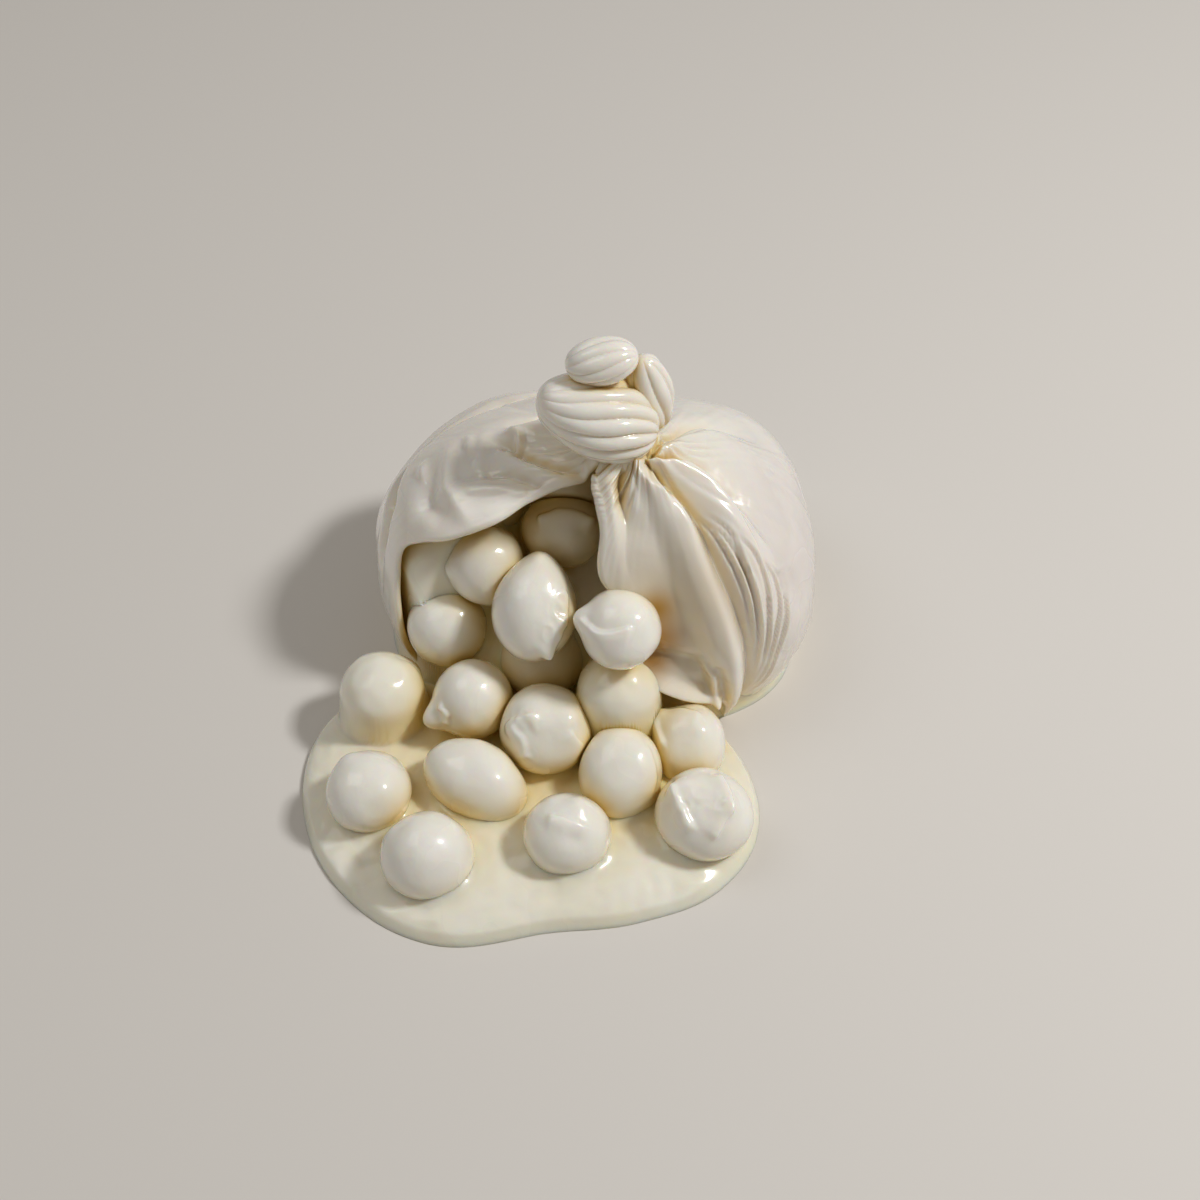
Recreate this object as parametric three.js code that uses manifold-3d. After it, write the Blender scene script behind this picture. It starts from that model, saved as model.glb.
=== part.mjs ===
// A tied pouch of stretched mozzarella curd, cut open at the front and left, with small
// mozzarella balls in cream spilling out of it. Sizes are in millimetres and angles in degrees.
// The pouch faces -Y: its gathered neck and knot are on top, and its flat base is at z = 0.

import * as THREE from "three";
import { mergeVertices } from "three/addons/utils/BufferGeometryUtils.js";
import Module from "manifold-3d";

const wasm = await Module();
wasm.setup();

// Where the middle of the whole footprint lies in the pouch's own layout.
const LAYOUT_CENTRE = { x: -7.2, y: -30.4 };

// Gap that neighbouring pieces keep.
const GAP = 0.35;

// Size under which an edge or a step in a face counts for nothing.
const SLIVER = 0.03;

// The pouch: a sack that slopes from its neck to a round shoulder and stands on a flat base.
const POUCH = {
  neck: { x: 16, y: -3 },
  body: { x: -2, y: 9 },
  wall: 4.6,
  // Share of the pleats that shows on the wall's inner face.
  pleatsInside: 0.65,
  base: { thick: 3, share: 0.9, inset: 1.5, corners: 36 },
  // Along the sack from neck to base: [station, share of the reach, height].
  profile: [
    [0.0, 0.1, 92],
    [0.1, 0.2, 87],
    [0.25, 0.42, 80],
    [0.4, 0.66, 72],
    [0.53, 0.86, 61],
    [0.64, 0.96, 48],
    [0.75, 1.0, 33],
    [0.87, 0.98, 16],
    [1.0, 0.88, 0],
  ],
  // How far the sack reaches sideways: [bearing, millimetres].
  reach: [
    [0, 78],
    [30, 76],
    [60, 59],
    [90, 52],
    [120, 58],
    [150, 62],
    [180, 67],
    [225, 62],
    [270, 47],
    [315, 70],
    [335, 79],
  ],
};

// The pleats that run down the wall, from one side of the cut round to the other. Each path is
// [station, bearing, lift]: how far the wall stands out there. The walls meet sharply in valleys.
const PLEATS = [
  {
    name: "right side of the cut",
    path: [
      [0, -146, 0], [0.08, -144, 0.4], [0.19, -110, 1.2], [0.33, -87, 1.2], [0.5, -80, 0.4],
      [0.58, -71.5, 0], [0.67, -66, 0], [0.77, -67, 0], [0.86, -60, 0], [1, -48, 0],
    ],
  },
  {
    name: "strip beside the cut",
    path: [
      [0, -130, 1], [0.08, -126, 1.8], [0.19, -101, 2], [0.33, -82, 1.4], [0.5, -76, 0.4],
      [0.58, -68.5, 0.2], [0.67, -63.5, 0.2], [0.77, -63.5, 0.2], [1, -46.4, 0],
    ],
  },
  {
    name: "valley beside the strip",
    sharp: true,
    path: [
      [0, -114, -1], [0.08, -110, -2.2], [0.2, -90, -2.4], [0.3, -77, -1.2], [0.45, -72, -0.4],
      [0.6, -64, -0.5], [0.7, -60.5, -0.5], [0.8, -58.5, -0.5], [1, -44.9, 0],
    ],
  },
  {
    name: "front panel",
    path: [
      [0, -100, 1], [0.1, -82, 2], [0.2, -70, 1.6], [0.33, -62, 0.4], [0.5, -59, 0],
      [0.65, -56, -0.6], [0.85, -51, -0.6], [1, -43.5, 0],
    ],
  },
  {
    name: "plump front ridge",
    path: [
      [0, -86, 2], [0.07, -68, 3], [0.14, -53, 3.6], [0.25, -47, 3.8], [0.4, -48, 3.8],
      [0.55, -48, 3.8], [0.7, -46.5, 3.8], [0.85, -45.5, 3.6], [1, -42.5, 2.4],
    ],
  },
  {
    name: "deep crease",
    sharp: true,
    path: [
      [0, -60, -1.6], [0.06, -50, -3], [0.17, -41, -3.8], [0.3, -39.5, -4.2], [0.5, -42, -4.2],
      [0.75, -41, -3.4], [0.9, -40, -2], [1, -39, -1],
    ],
  },
  {
    name: "second ridge",
    path: [
      [0, -40, 1.4], [0.05, -22, 2.6], [0.14, -15, 3.2], [0.28, -24, 3.2], [0.42, -30.5, 2.6],
      [0.56, -35, 1.4], [0.7, -35, 0.6], [1, -33, 0.4],
    ],
  },
  {
    name: "second valley",
    sharp: true,
    path: [
      [0, -28, -1.4], [0.05, -13, -2.8], [0.12, -8, -3.2], [0.22, -13, -3], [0.34, -18, -2.4],
      [0.46, -23, -0.8], [0.6, -28, 0], [1, -25, 0],
    ],
  },
  {
    name: "third ridge",
    path: [
      [0, -8, 1.2], [0.05, 8, 2.2], [0.16, 22, 2.8], [0.28, 16, 2.4], [0.4, 5, 1.2],
      [0.55, -3, 0], [1, -4, 0],
    ],
  },
  {
    name: "third valley",
    sharp: true,
    path: [
      [0, 14, -1], [0.05, 28, -2.2], [0.16, 35, -2.4], [0.3, 26, -1.6], [0.44, 16, -0.6],
      [0.6, 13, 0], [1, 14, 0],
    ],
  },
  {
    name: "right swell",
    path: [
      [0, 36, 1.2], [0.1, 50, 1.6], [0.25, 46, 1.2], [0.5, 34, 0], [1, 33, 0],
    ],
  },
  {
    name: "first back valley",
    sharp: true,
    path: [
      [0, 62, -1.2], [0.1, 68, -2], [0.25, 64, -1.6], [0.5, 54, -0.4], [0.7, 54, 0],
      [1, 54, 0],
    ],
  },
  {
    name: "first back ridge",
    path: [
      [0, 78, 1.2], [0.15, 80, 1.8], [0.4, 76, 1], [0.7, 74, 0], [1, 74, 0],
    ],
  },
  {
    name: "second back valley",
    sharp: true,
    path: [
      [0, 96, -1.2], [0.12, 93, -2.2], [0.4, 92, -1.2], [0.65, 94, 0], [1, 94, 0],
    ],
  },
  {
    name: "second back ridge",
    path: [
      [0, 112, 1.2], [0.15, 108, 1.8], [0.4, 110, 0.8], [0.7, 114, 0], [1, 114, 0],
    ],
  },
  {
    name: "third back valley",
    sharp: true,
    path: [
      [0, 130, -1.2], [0.12, 124, -2.2], [0.35, 128, -1.2], [0.6, 134, 0], [1, 134, 0],
    ],
  },
  {
    name: "left back ridge",
    path: [
      [0, 150, 1], [0.15, 144, 1.2], [0.4, 150, 0.4], [0.7, 154, 0], [1, 154, 0],
    ],
  },
  {
    name: "left shoulder",
    path: [
      [0, 168, 0.4], [0.2, 166, 0], [0.4, 170, 0.6], [0.7, 174, 0], [1, 175, 0],
    ],
  },
  {
    name: "left flap",
    path: [
      [0, 182, 0.6], [0.1, 180, 0.6], [0.22, 186, 0.8], [0.36, 196, 1.8], [0.48, 193, 1.6],
      [0.58, 187, 0], [1, 192, 0],
    ],
  },
  {
    name: "left side of the cut",
    path: [
      [0, 196, 0], [0.08, 190, 0], [0.14, 198, 0], [0.2, 202, 0], [0.27, 208, 0.4],
      [0.36, 214, 1.4], [0.46, 210, 1.2], [0.52, 203, 0.4], [0.58, 199, 0], [0.66, 203, 0],
      [0.74, 206, 0], [1, 209, 0],
    ],
  },
];

// Folds that cross the pleats. Each follows a path of [bearing, station, strength], stands out
// by its height, or sinks in where that is negative, and is as wide as its width on each side.
const FOLDS = [
  {
    name: "shoulder crease on the left",
    height: -3.2,
    width: 3.6,
    path: [
      [104, 0.48, 0.2], [118, 0.45, 0.7], [134, 0.41, 1], [147, 0.4, 1], [158, 0.43, 1],
      [170, 0.48, 1], [180, 0.5, 0.9], [189, 0.54, 0.8], [196, 0.62, 0.2],
    ],
  },
  {
    name: "plump lip by the neck",
    height: 4.2,
    width: 6.5,
    path: [
      [188, 0.1, 0.6], [177, 0.14, 1], [170, 0.21, 1], [168, 0.27, 0.4],
    ],
  },
  {
    name: "dip behind the lip",
    height: -2.6,
    width: 3.6,
    path: [
      [150, 0.12, 0.6], [144, 0.2, 1], [152, 0.29, 1], [166, 0.33, 0.5],
    ],
  },
];

// Grid of the wall: rows down it, and columns between each pleat and the next.
const WALL_ROWS = 15;
const WALL_COLUMNS = 3;

// The knot on the neck, wound like a turban: each lobe is a [centre], [half sizes along its
// length, across and up], a tilt about Y, and how many ribs run along it and how deep they are.
const KNOT = {
  neck: { base: [14.5, 3, 76], top: [10, 4, 103], baseRadius: 13.5, topRadius: 11.5 },
  wrap: { centre: [3.8, 1.5, 102.6], half: [19.2, 13.4, 13], tilt: 17, ribs: 15, depth: 1.1 },
  tail: { centre: [20, 11, 104], half: [14, 7, 6.6], tilt: 84, ribs: 0, depth: 0 },
  tuft: { centre: [5.5, 5.5, 120], half: [11, 8, 7], tilt: -12, ribs: 0, depth: 0 },
};

// The small balls: centre, radius, stretch along an axis, and a pinched tip with its direction.
const BALLS = [
  { at: [-7, -1, 53], r: 12.8, axis: [1, 0, 0.3], stretch: 1.06, tip: [0.8, -0.2, 0.6], tall: 1.2 },
  { at: [-6, 14, 60], r: 14.0, axis: [1, 0, 0], stretch: 1.05, tip: [-0.6, 0, 0.5], tall: 1.0 },
  { at: [-31, -12, 48], r: 12.4, axis: [0, 0.6, 0.8], stretch: 1.06, tip: [-0.9, -0.2, 0.1], tall: 1.4 },
  { at: [-15.5, -29, 47], r: 14.4, axis: [0.1, 0.8, 0.6], stretch: 1.22, tip: [0.1, 0.7, 0.7], tall: 1.6 },
  { at: [12, -42.2, 52.7], r: 12.8, axis: [0, 0.7, 0.7], stretch: 1.04, tip: [-0.95, 0.1, 0.3], tall: 2.8 },
  { at: [-44.5, -21, 28], r: 13.0, axis: [0, 0.7, 0.7], stretch: 1.03, tip: [-0.6, -0.2, -0.7], tall: 0.8 },
  { at: [-35.5, -44, 20], r: 12.8, axis: [1, 0.1, 0], stretch: 1.05, tip: [-0.92, -0.5, -0.1], tall: 5.0 },
  { at: [-12, -55, 19], r: 14.5, axis: [0, 0.7, 0.7], stretch: 1.03, tip: [0.7, -0.7, 0], tall: 1.0 },
  { at: [11, -46, 25.4], r: 13.0, axis: [1, 0, 0], stretch: 1.02, tip: [0.4, 0.2, 0.9], tall: 0.6 },
  { at: [11.4, -69, 14.5], r: 13.9, axis: [0.2, 0.7, 0.7], stretch: 1.1, tip: [0.8, -0.5, -0.3], tall: 1.2 },
  { at: [33, -57, 13.5], r: 12.2, axis: [0.15, 0.8, 0.6], stretch: 1.14, tip: [-0.8, 0.5, 0.5], tall: 3.4 },
  { at: [37, -84, 14], r: 14.6, axis: [0.9, -0.3, 0], stretch: 1.08, tip: [-0.5, 0.1, 0.85], tall: 2.0 },
  { at: [-5, -91, 13], r: 13.0, axis: [1, 0.1, 0], stretch: 1.05, tip: [0.3, 0.3, 0.9], tall: 1.4 },
  { at: [-34, -71, 13.4], r: 13.8, axis: [0.9, -0.4, -0.2], stretch: 1.42, tip: [0.1, 0.5, 0.8], tall: 0.6 },
  { at: [-47.5, -98, 13], r: 13.6, axis: [1, 0.2, 0], stretch: 1.1, tip: [-0.8, 0.2, 0.5], tall: 0.8 },
  { at: [-67, -75, 13], r: 13.0, axis: [0.3, 1, 0], stretch: 1.05, tip: [-0.5, 0.5, 0.7], tall: 1.0 },
  { at: [-65, -39, 15], r: 13.4, axis: [0.6, 0.6, 0.3], stretch: 1.06, tip: [0.7, 0.6, 0.3], tall: 0.8 },
  { at: [-53, 3, 31], r: 12.4, axis: [0, 1, 0], stretch: 1.04, tip: [0.2, -0.3, 0.9], tall: 0.8 },
  { at: [-14, -27, 19], r: 13.4, axis: [1, 0, 0], stretch: 1.03, tip: [0.3, -0.4, 0.8], tall: 0.8 },
  { at: [-31, 14, 51], r: 12.8, axis: [1, 0, 0], stretch: 1.03, tip: [0, -0.5, 0.8], tall: 0.8 },
];

// What the balls share: how wide a tip is, how lumpy they are, how far a flat may stand off from
// the plain shape, how far apart balls may be and still touch, and the detail of their faces.
const BALL_KIND = { tipSpread: 17, lumps: 0.018, standOff: 3, farApart: 45, detail: 2 };

// The cream: a low pool under the balls in front, and the filling that banks up in the pouch.
const CREAM = {
  pool: {
    centre: [-12, -62],
    depth: 8.0,
    rim: 0.6,
    // [bearing, millimetres].
    reach: [
      [0, 66],
      [30, 54],
      [60, 42],
      [90, 42],
      [120, 48],
      [150, 68],
      [165, 77],
      [190, 78],
      [215, 75],
      [240, 69],
      [270, 56],
      [300, 60],
      [320, 67],
      [340, 70],
    ],
  },
  // Share of the pouch's reach that the filling takes.
  fillShare: 0.87,
  // The filling's height from front to back where it shows in the mouth, as [y, height].
  bank: [
    [-60, 6],
    [-42, 12],
    [-25, 24],
    [-8, 38],
    [10, 52],
    [26, 68],
    [60, 82],
  ],
  // How far the filling rises from that height up to the sack's roof: [bearing, share].
  risen: [
    [0, 1],
    [60, 1],
    [130, 1],
    [195, 1],
    [212, 0.7],
    [228, 0],
    [298, 0],
    [318, 1],
  ],
  // Shares of the filling's reach between which it rises.
  rise: [0.3, 0.6],
  // How far the filling stays under the sack's outer face, and the stations its roof is read at.
  roofDrop: 6,
  roofStations: { first: 0.12, last: 0.98, step: 0.01 },
  spokes: 30,
  rings: 5,
};

// Looks, as [colour, roughness].
const FINISH = {
  pouch: ["#e4dcd0", 0.3],
  ball: ["#ebe6da", 0.28],
  cream: ["#ece5cf", 0.22],
};

const radians = THREE.MathUtils.degToRad;

// Smooth curve through rows of [place, value], read at x.
function smoothThrough(rows, x) {
  const last = rows.length - 1;
  const slope = (i) => {
    const a = rows[Math.max(i - 1, 0)];
    const b = rows[Math.min(i + 1, last)];
    return (b[1] - a[1]) / (b[0] - a[0]);
  };
  let i = 0;
  while (i < last - 1 && x >= rows[i + 1][0]) i += 1;
  const [x0, y0] = rows[i];
  const [x1, y1] = rows[i + 1];
  const h = x1 - x0;
  const u = THREE.MathUtils.clamp((x - x0) / h, 0, 1);
  const v = 1 - u;
  const ends = (1 + 2 * u) * v * v * y0 + (3 - 2 * u) * u * u * y1;
  return ends + u * v * h * (v * slope(i) - u * slope(i + 1));
}

// The same for a table that goes once round.
function smoothRound(rows, bearing) {
  const turn = (row, by) => [row[0] + by, row[1]];
  const wrapped = [
    ...rows.slice(-2).map((row) => turn(row, -360)),
    ...rows,
    ...rows.slice(0, 2).map((row) => turn(row, 360)),
  ];
  return smoothThrough(wrapped, ((bearing % 360) + 360) % 360);
}

// The ring of the sack at a station: its middle, its height and its share of the reach.
function sackRing(station) {
  const share = smoothThrough(POUCH.profile.map(([s, r]) => [s, r]), station);
  const height = smoothThrough(POUCH.profile.map(([s, , z]) => [s, z]), station);
  const weight = THREE.MathUtils.smoothstep(share, 0, 1);
  return {
    share,
    height,
    x: THREE.MathUtils.lerp(POUCH.neck.x, POUCH.body.x, weight),
    y: THREE.MathUtils.lerp(POUCH.neck.y, POUCH.body.y, weight),
  };
}

// A point of the plain sack, before its folds.
function sackPoint(bearing, station) {
  const ring = sackRing(station);
  const reach = ring.share * smoothRound(POUCH.reach, bearing);
  const angle = radians(bearing);
  return new THREE.Vector3(
    ring.x + reach * Math.cos(angle),
    ring.y + reach * Math.sin(angle),
    ring.height,
  );
}

// The way out of the plain sack at a point.
function sackNormal(bearing, station) {
  const step = 0.01;
  const low = Math.max(station - step, 0);
  const high = Math.min(station + step, 1);
  const along = sackPoint(bearing, high).sub(sackPoint(bearing, low));
  const across = sackPoint(bearing + 1, station).sub(sackPoint(bearing - 1, station));
  return along.cross(across).normalize();
}

// One column of a path, read at a station.
function columnOf(path, column, station) {
  return smoothThrough(path.map((row) => [row[0], row[column]]), station);
}

// Where a place across the pleats lies: its bearing, and how far its pleat lifts it.
function pleatAt(across, station) {
  const number = Math.min(Math.floor(across), PLEATS.length - 2);
  const share = across - number;
  const [here, next] = [PLEATS[number], PLEATS[number + 1]];
  let eased = THREE.MathUtils.smoothstep(share, 0, 1);
  if (here.sharp) eased = Math.sin((share * Math.PI) / 2);
  if (next.sharp) eased = 1 - Math.cos((share * Math.PI) / 2);
  const between = (column, weight) => {
    const from = columnOf(here.path, column, station);
    return THREE.MathUtils.lerp(from, columnOf(next.path, column, station), weight);
  };
  return { bearing: between(1, share), lift: between(2, eased) };
}

const foldLines = FOLDS.map((fold) => ({
  ...fold,
  points: fold.path.map(([bearing, station]) => sackPoint(bearing, station)),
}));

// How far the crossing folds lift a point of the sack.
function foldLift(point) {
  const nearest = new THREE.Vector3();
  const line = new THREE.Line3();
  let total = 0;
  for (const { points, path, height, width } of foldLines) {
    let best = Infinity;
    let strength = 0;
    for (let i = 0; i + 1 < points.length; i += 1) {
      line.set(points[i], points[i + 1]);
      const along = line.closestPointToPointParameter(point, true);
      line.at(along, nearest);
      const distance = nearest.distanceTo(point);
      if (distance < best) {
        best = distance;
        strength = THREE.MathUtils.lerp(path[i][2], path[i + 1][2], along);
      }
    }
    total += height * strength * Math.exp(-((best / width) ** 2));
  }
  return total;
}

// A point of the wall, a given depth under its pleated outer face and moved sideways by a margin.
function wallPoint(across, station, depth, margin) {
  const { bearing, lift } = pleatAt(across, station);
  const last = PLEATS.length - 1;
  const sideways = across === 0 ? -margin : across === last ? margin : 0;
  const point = sackPoint(bearing + sideways, station);
  const raised = lift + foldLift(point);
  const inside = THREE.MathUtils.clamp(depth / POUCH.wall, 0, 1);
  const felt = THREE.MathUtils.lerp(1, POUCH.pleatsInside, inside);
  point.addScaledVector(sackNormal(bearing, station), raised * felt - depth);
  point.z = Math.max(point.z, 0);
  return point;
}

// A geometry from points and triangles, as a solid.
function solidFrom(positions, index) {
  const geometry = new THREE.BufferGeometry();
  geometry.setAttribute("position", new THREE.Float32BufferAttribute(positions, 3));
  if (index) geometry.setIndex(index);
  return solidOf(geometry);
}

// A closed geometry as a solid.
function solidOf(geometry) {
  geometry.deleteAttribute("normal");
  geometry.deleteAttribute("uv");
  const merged = mergeVertices(geometry, 1e-4);
  const vertProperties = new Float32Array(merged.attributes.position.array);
  const triVerts = new Uint32Array(merged.index.array);
  return new wasm.Manifold(new wasm.Mesh({ numProp: 3, vertProperties, triVerts }));
}

// The biggest of a solid's bodies, without loose scraps, sealed pockets or tiny slivers.
function largestBody(solid) {
  const bodies = solid.decompose();
  const best = bodies.reduce((most, body) => (body.volume() > most.volume() ? body : most));
  return best.asOriginal().simplify(SLIVER);
}

// A solid as a named mesh with its looks.
function meshOf(name, solid, [color, roughness]) {
  const { vertProperties, triVerts } = solid.getMesh();
  const geometry = new THREE.BufferGeometry();
  geometry.setAttribute("position", new THREE.Float32BufferAttribute(vertProperties, 3));
  geometry.setIndex(new THREE.BufferAttribute(triVerts, 1));
  const flat = geometry.toNonIndexed();
  flat.computeVertexNormals();
  const mesh = new THREE.Mesh(flat, new THREE.MeshStandardMaterial({ color, roughness, metalness: 0 }));
  mesh.name = name;
  return mesh;
}

// The wall as a closed sheet with an outer and an inner face, each side grown by a margin.
function wallSolid(margin) {
  const columns = WALL_COLUMNS * (PLEATS.length - 1);
  const rows = WALL_ROWS;
  const positions = [];
  const index = [];
  for (const depth of [-margin, POUCH.wall + margin]) {
    for (let c = 0; c <= columns; c += 1) {
      for (let r = 0; r <= rows; r += 1) {
        positions.push(...wallPoint(c / WALL_COLUMNS, r / rows, depth, margin).toArray());
      }
    }
  }
  const side = (columns + 1) * (rows + 1);
  const at = (face, c, r) => face * side + c * (rows + 1) + r;
  const quad = (a, b, c, d) => index.push(a, b, c, a, c, d);
  for (let c = 0; c < columns; c += 1) {
    for (let r = 0; r < rows; r += 1) {
      quad(at(0, c, r), at(0, c, r + 1), at(0, c + 1, r + 1), at(0, c + 1, r));
      quad(at(1, c, r), at(1, c + 1, r), at(1, c + 1, r + 1), at(1, c, r + 1));
    }
    quad(at(0, c, 0), at(0, c + 1, 0), at(1, c + 1, 0), at(1, c, 0));
    quad(at(0, c, rows), at(1, c, rows), at(1, c + 1, rows), at(0, c + 1, rows));
  }
  for (let r = 0; r < rows; r += 1) {
    quad(at(0, 0, r), at(1, 0, r), at(1, 0, r + 1), at(0, 0, r + 1));
    quad(at(0, columns, r), at(0, columns, r + 1), at(1, columns, r + 1), at(1, columns, r));
  }
  return solidFrom(positions, index);
}

// The sack's bottom, which runs on under the balls.
function baseSolid(margin) {
  const { thick, share, inset, corners } = POUCH.base;
  const places = Array.from({ length: corners }, (_, i) => {
    const bearing = (360 * i) / corners;
    const reach = share * smoothRound(POUCH.reach, bearing) - inset + margin;
    const x = POUCH.body.x + reach * Math.cos(radians(bearing));
    return new THREE.Vector2(x, POUCH.body.y + reach * Math.sin(radians(bearing)));
  });
  const outline = new THREE.Shape(places);
  return solidOf(new THREE.ExtrudeGeometry(outline, { depth: thick + margin, bevelEnabled: false }));
}

// A fat lobe of the knot, which lies along X before it is tilted. Its ribs run along it.
function lobeSolid({ centre, half, tilt, ribs, depth }, margin) {
  const geometry = new THREE.SphereGeometry(1, ribs ? 2 * ribs : 12, ribs ? 8 : 9);
  const positions = geometry.attributes.position;
  const turn = new THREE.Matrix4().makeRotationY(radians(tilt));
  const point = new THREE.Vector3();
  for (let i = 0; i < positions.count; i += 1) {
    point.fromBufferAttribute(positions, i);
    const around = Math.atan2(point.z, point.x);
    const out = Math.hypot(point.x, point.z);
    const rib = ribs ? (1 - Math.cos(ribs * around)) / 2 : 0;
    point.set(
      (half[0] + margin) * point.y,
      (half[1] + margin - depth * rib) * out * Math.cos(around),
      -(half[2] + margin - depth * rib) * out * Math.sin(around),
    );
    point.applyMatrix4(turn);
    positions.setXYZ(i, point.x + centre[0], point.y + centre[1], point.z + centre[2]);
  }
  return solidOf(geometry);
}

// The gathered neck between the sack and the knot.
function neckSolid({ base, top, baseRadius, topRadius }, margin) {
  const geometry = new THREE.CylinderGeometry(topRadius + margin, baseRadius + margin, 1, 16, 1);
  const positions = geometry.attributes.position;
  for (let i = 0; i < positions.count; i += 1) {
    const share = positions.getY(i) + 0.5;
    positions.setXYZ(
      i,
      positions.getX(i) + THREE.MathUtils.lerp(base[0], top[0], share),
      -positions.getZ(i) + THREE.MathUtils.lerp(base[1], top[1], share),
      THREE.MathUtils.lerp(base[2] - margin, top[2] + margin, share),
    );
  }
  return solidOf(geometry);
}

// The whole pouch, each side grown by a margin.
function pouchSolid(margin) {
  const { neck, wrap, tail, tuft } = KNOT;
  return wallSolid(margin)
    .add(baseSolid(margin))
    .add(neckSolid(neck, margin))
    .add(lobeSolid(wrap, margin))
    .add(lobeSolid(tail, margin))
    .add(lobeSolid(tuft, margin));
}

const unit = (values) => new THREE.Vector3(...values).normalize();

// A ball's plain radius along a direction: a stretched sphere with slight lumps and its tip.
function looseRadius(ball, direction, number) {
  const along = ball.stretch ** (2 / 3) * ball.r;
  const across = ball.r / ball.stretch ** (1 / 3);
  const c = direction.dot(unit(ball.axis));
  const waves = Math.sin(3 * direction.x + 2.4 * number) + Math.cos(3.6 * direction.z - 1.7 * number);
  const plain = (1 + BALL_KIND.lumps * waves) / Math.sqrt((c / along) ** 2 + (1 - c * c) / across ** 2);
  const apart = THREE.MathUtils.radToDeg(direction.angleTo(unit(ball.tip)));
  return plain + ball.tall * Math.exp(-((apart / BALL_KIND.tipSpread) ** 2));
}

// The flats where a ball leans on the floor and on its neighbours, as a normal and a distance.
function flatsOf(number) {
  const ball = BALLS[number];
  const flats = [{ normal: new THREE.Vector3(0, 0, -1), distance: ball.at[2] }];
  BALLS.forEach((other, i) => {
    const apart = new THREE.Vector3(...other.at).sub(new THREE.Vector3(...ball.at));
    const length = apart.length();
    if (i === number || length > BALL_KIND.farApart) return;
    const normal = apart.clone().normalize();
    const mine = looseRadius(ball, normal, number);
    const theirs = looseRadius(other, normal.clone().negate(), i);
    const shared = (length * mine) / (mine + theirs) - GAP / 2;
    const distance = Math.min(shared, mine + BALL_KIND.standOff);
    flats.push({ normal, distance });
  });
  return flats;
}

// A small ball grown by a margin, with a corner of its mesh on its tip.
function ballSolid(number, margin) {
  const geometry = new THREE.IcosahedronGeometry(1, BALL_KIND.detail);
  const positions = geometry.attributes.position;
  const direction = new THREE.Vector3();
  const ball = BALLS[number];
  const flats = flatsOf(number);
  const corner = new THREE.Vector3().fromBufferAttribute(positions, 0).normalize();
  const turn = new THREE.Quaternion().setFromUnitVectors(corner, unit(ball.tip));
  for (let i = 0; i < positions.count; i += 1) {
    direction.fromBufferAttribute(positions, i).normalize().applyQuaternion(turn);
    let radius = looseRadius(ball, direction, number) + margin;
    for (const { normal, distance } of flats) {
      const facing = direction.dot(normal);
      if (facing > 0.05) radius = Math.min(radius, (distance + margin) / facing);
    }
    positions.setXYZ(i, ...direction.multiplyScalar(radius).add(new THREE.Vector3(...ball.at)).toArray());
  }
  return solidOf(geometry);
}

// The sack's height over a place.
function roofHeight(x, y) {
  const { first, last, step } = CREAM.roofStations;
  let station = first;
  for (; station < last; station += step) {
    const ring = sackRing(station);
    const bearing = THREE.MathUtils.radToDeg(Math.atan2(y - ring.y, x - ring.x));
    const reach = ring.share * smoothRound(POUCH.reach, bearing);
    if (Math.hypot(x - ring.x, y - ring.y) <= reach) break;
  }
  return sackRing(station).height;
}

// A solid from the floor up to a height that is worked out at each place.
function moundSolid(centre, reachAt, heightAt) {
  const { spokes, rings } = CREAM;
  const positions = [centre[0], centre[1], heightAt(centre[0], centre[1], 0), centre[0], centre[1], 0];
  const index = [];
  const at = (spoke, ring, low) => 2 + 2 * ((spoke % spokes) * rings + (ring - 1)) + low;
  for (let s = 0; s < spokes; s += 1) {
    const bearing = (360 * s) / spokes;
    for (let k = 1; k <= rings; k += 1) {
      const share = Math.sqrt(k / rings);
      const x = centre[0] + share * reachAt(bearing) * Math.cos(radians(bearing));
      const y = centre[1] + share * reachAt(bearing) * Math.sin(radians(bearing));
      positions.push(x, y, heightAt(x, y, share), x, y, 0);
    }
    index.push(0, at(s, 1, 0), at(s + 1, 1, 0), 1, at(s + 1, 1, 1), at(s, 1, 1));
    for (let k = 1; k < rings; k += 1) {
      for (const [low, flip] of [[0, false], [1, true]]) {
        const corners = [at(s, k, low), at(s, k + 1, low), at(s + 1, k + 1, low), at(s + 1, k, low)];
        const [a, b, c, d] = flip ? corners.reverse() : corners;
        index.push(a, b, c, a, c, d);
      }
    }
    const [a, b, c, d] = [at(s, rings, 0), at(s, rings, 1), at(s + 1, rings, 1), at(s + 1, rings, 0)];
    index.push(a, b, c, a, c, d);
  }
  return solidFrom(positions, index);
}

// The pool and the filling together, before the balls and the pouch are cut out.
function creamSolid() {
  const { pool, fillShare, bank, risen, rise, roofDrop } = CREAM;
  const shelf = moundSolid(
    pool.centre,
    (bearing) => smoothRound(pool.reach, bearing),
    (x, y, share) => pool.rim + pool.depth * Math.sqrt(1 - share ** 5),
  );
  const fillingHeight = (x, y, share) => {
    const bearing = THREE.MathUtils.radToDeg(Math.atan2(y - POUCH.body.y, x - POUCH.body.x));
    const risenShare = THREE.MathUtils.clamp(smoothRound(risen, bearing), 0, 1);
    const weight = risenShare * THREE.MathUtils.smoothstep(share, ...rise);
    const roof = roofHeight(x, y) - roofDrop;
    return Math.min(THREE.MathUtils.lerp(smoothThrough(bank, y), roof, weight), roof);
  };
  const filling = moundSolid(
    [POUCH.body.x, POUCH.body.y],
    (bearing) => fillShare * smoothRound(POUCH.reach, bearing),
    fillingHeight,
  );
  return shelf.add(filling);
}

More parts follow.
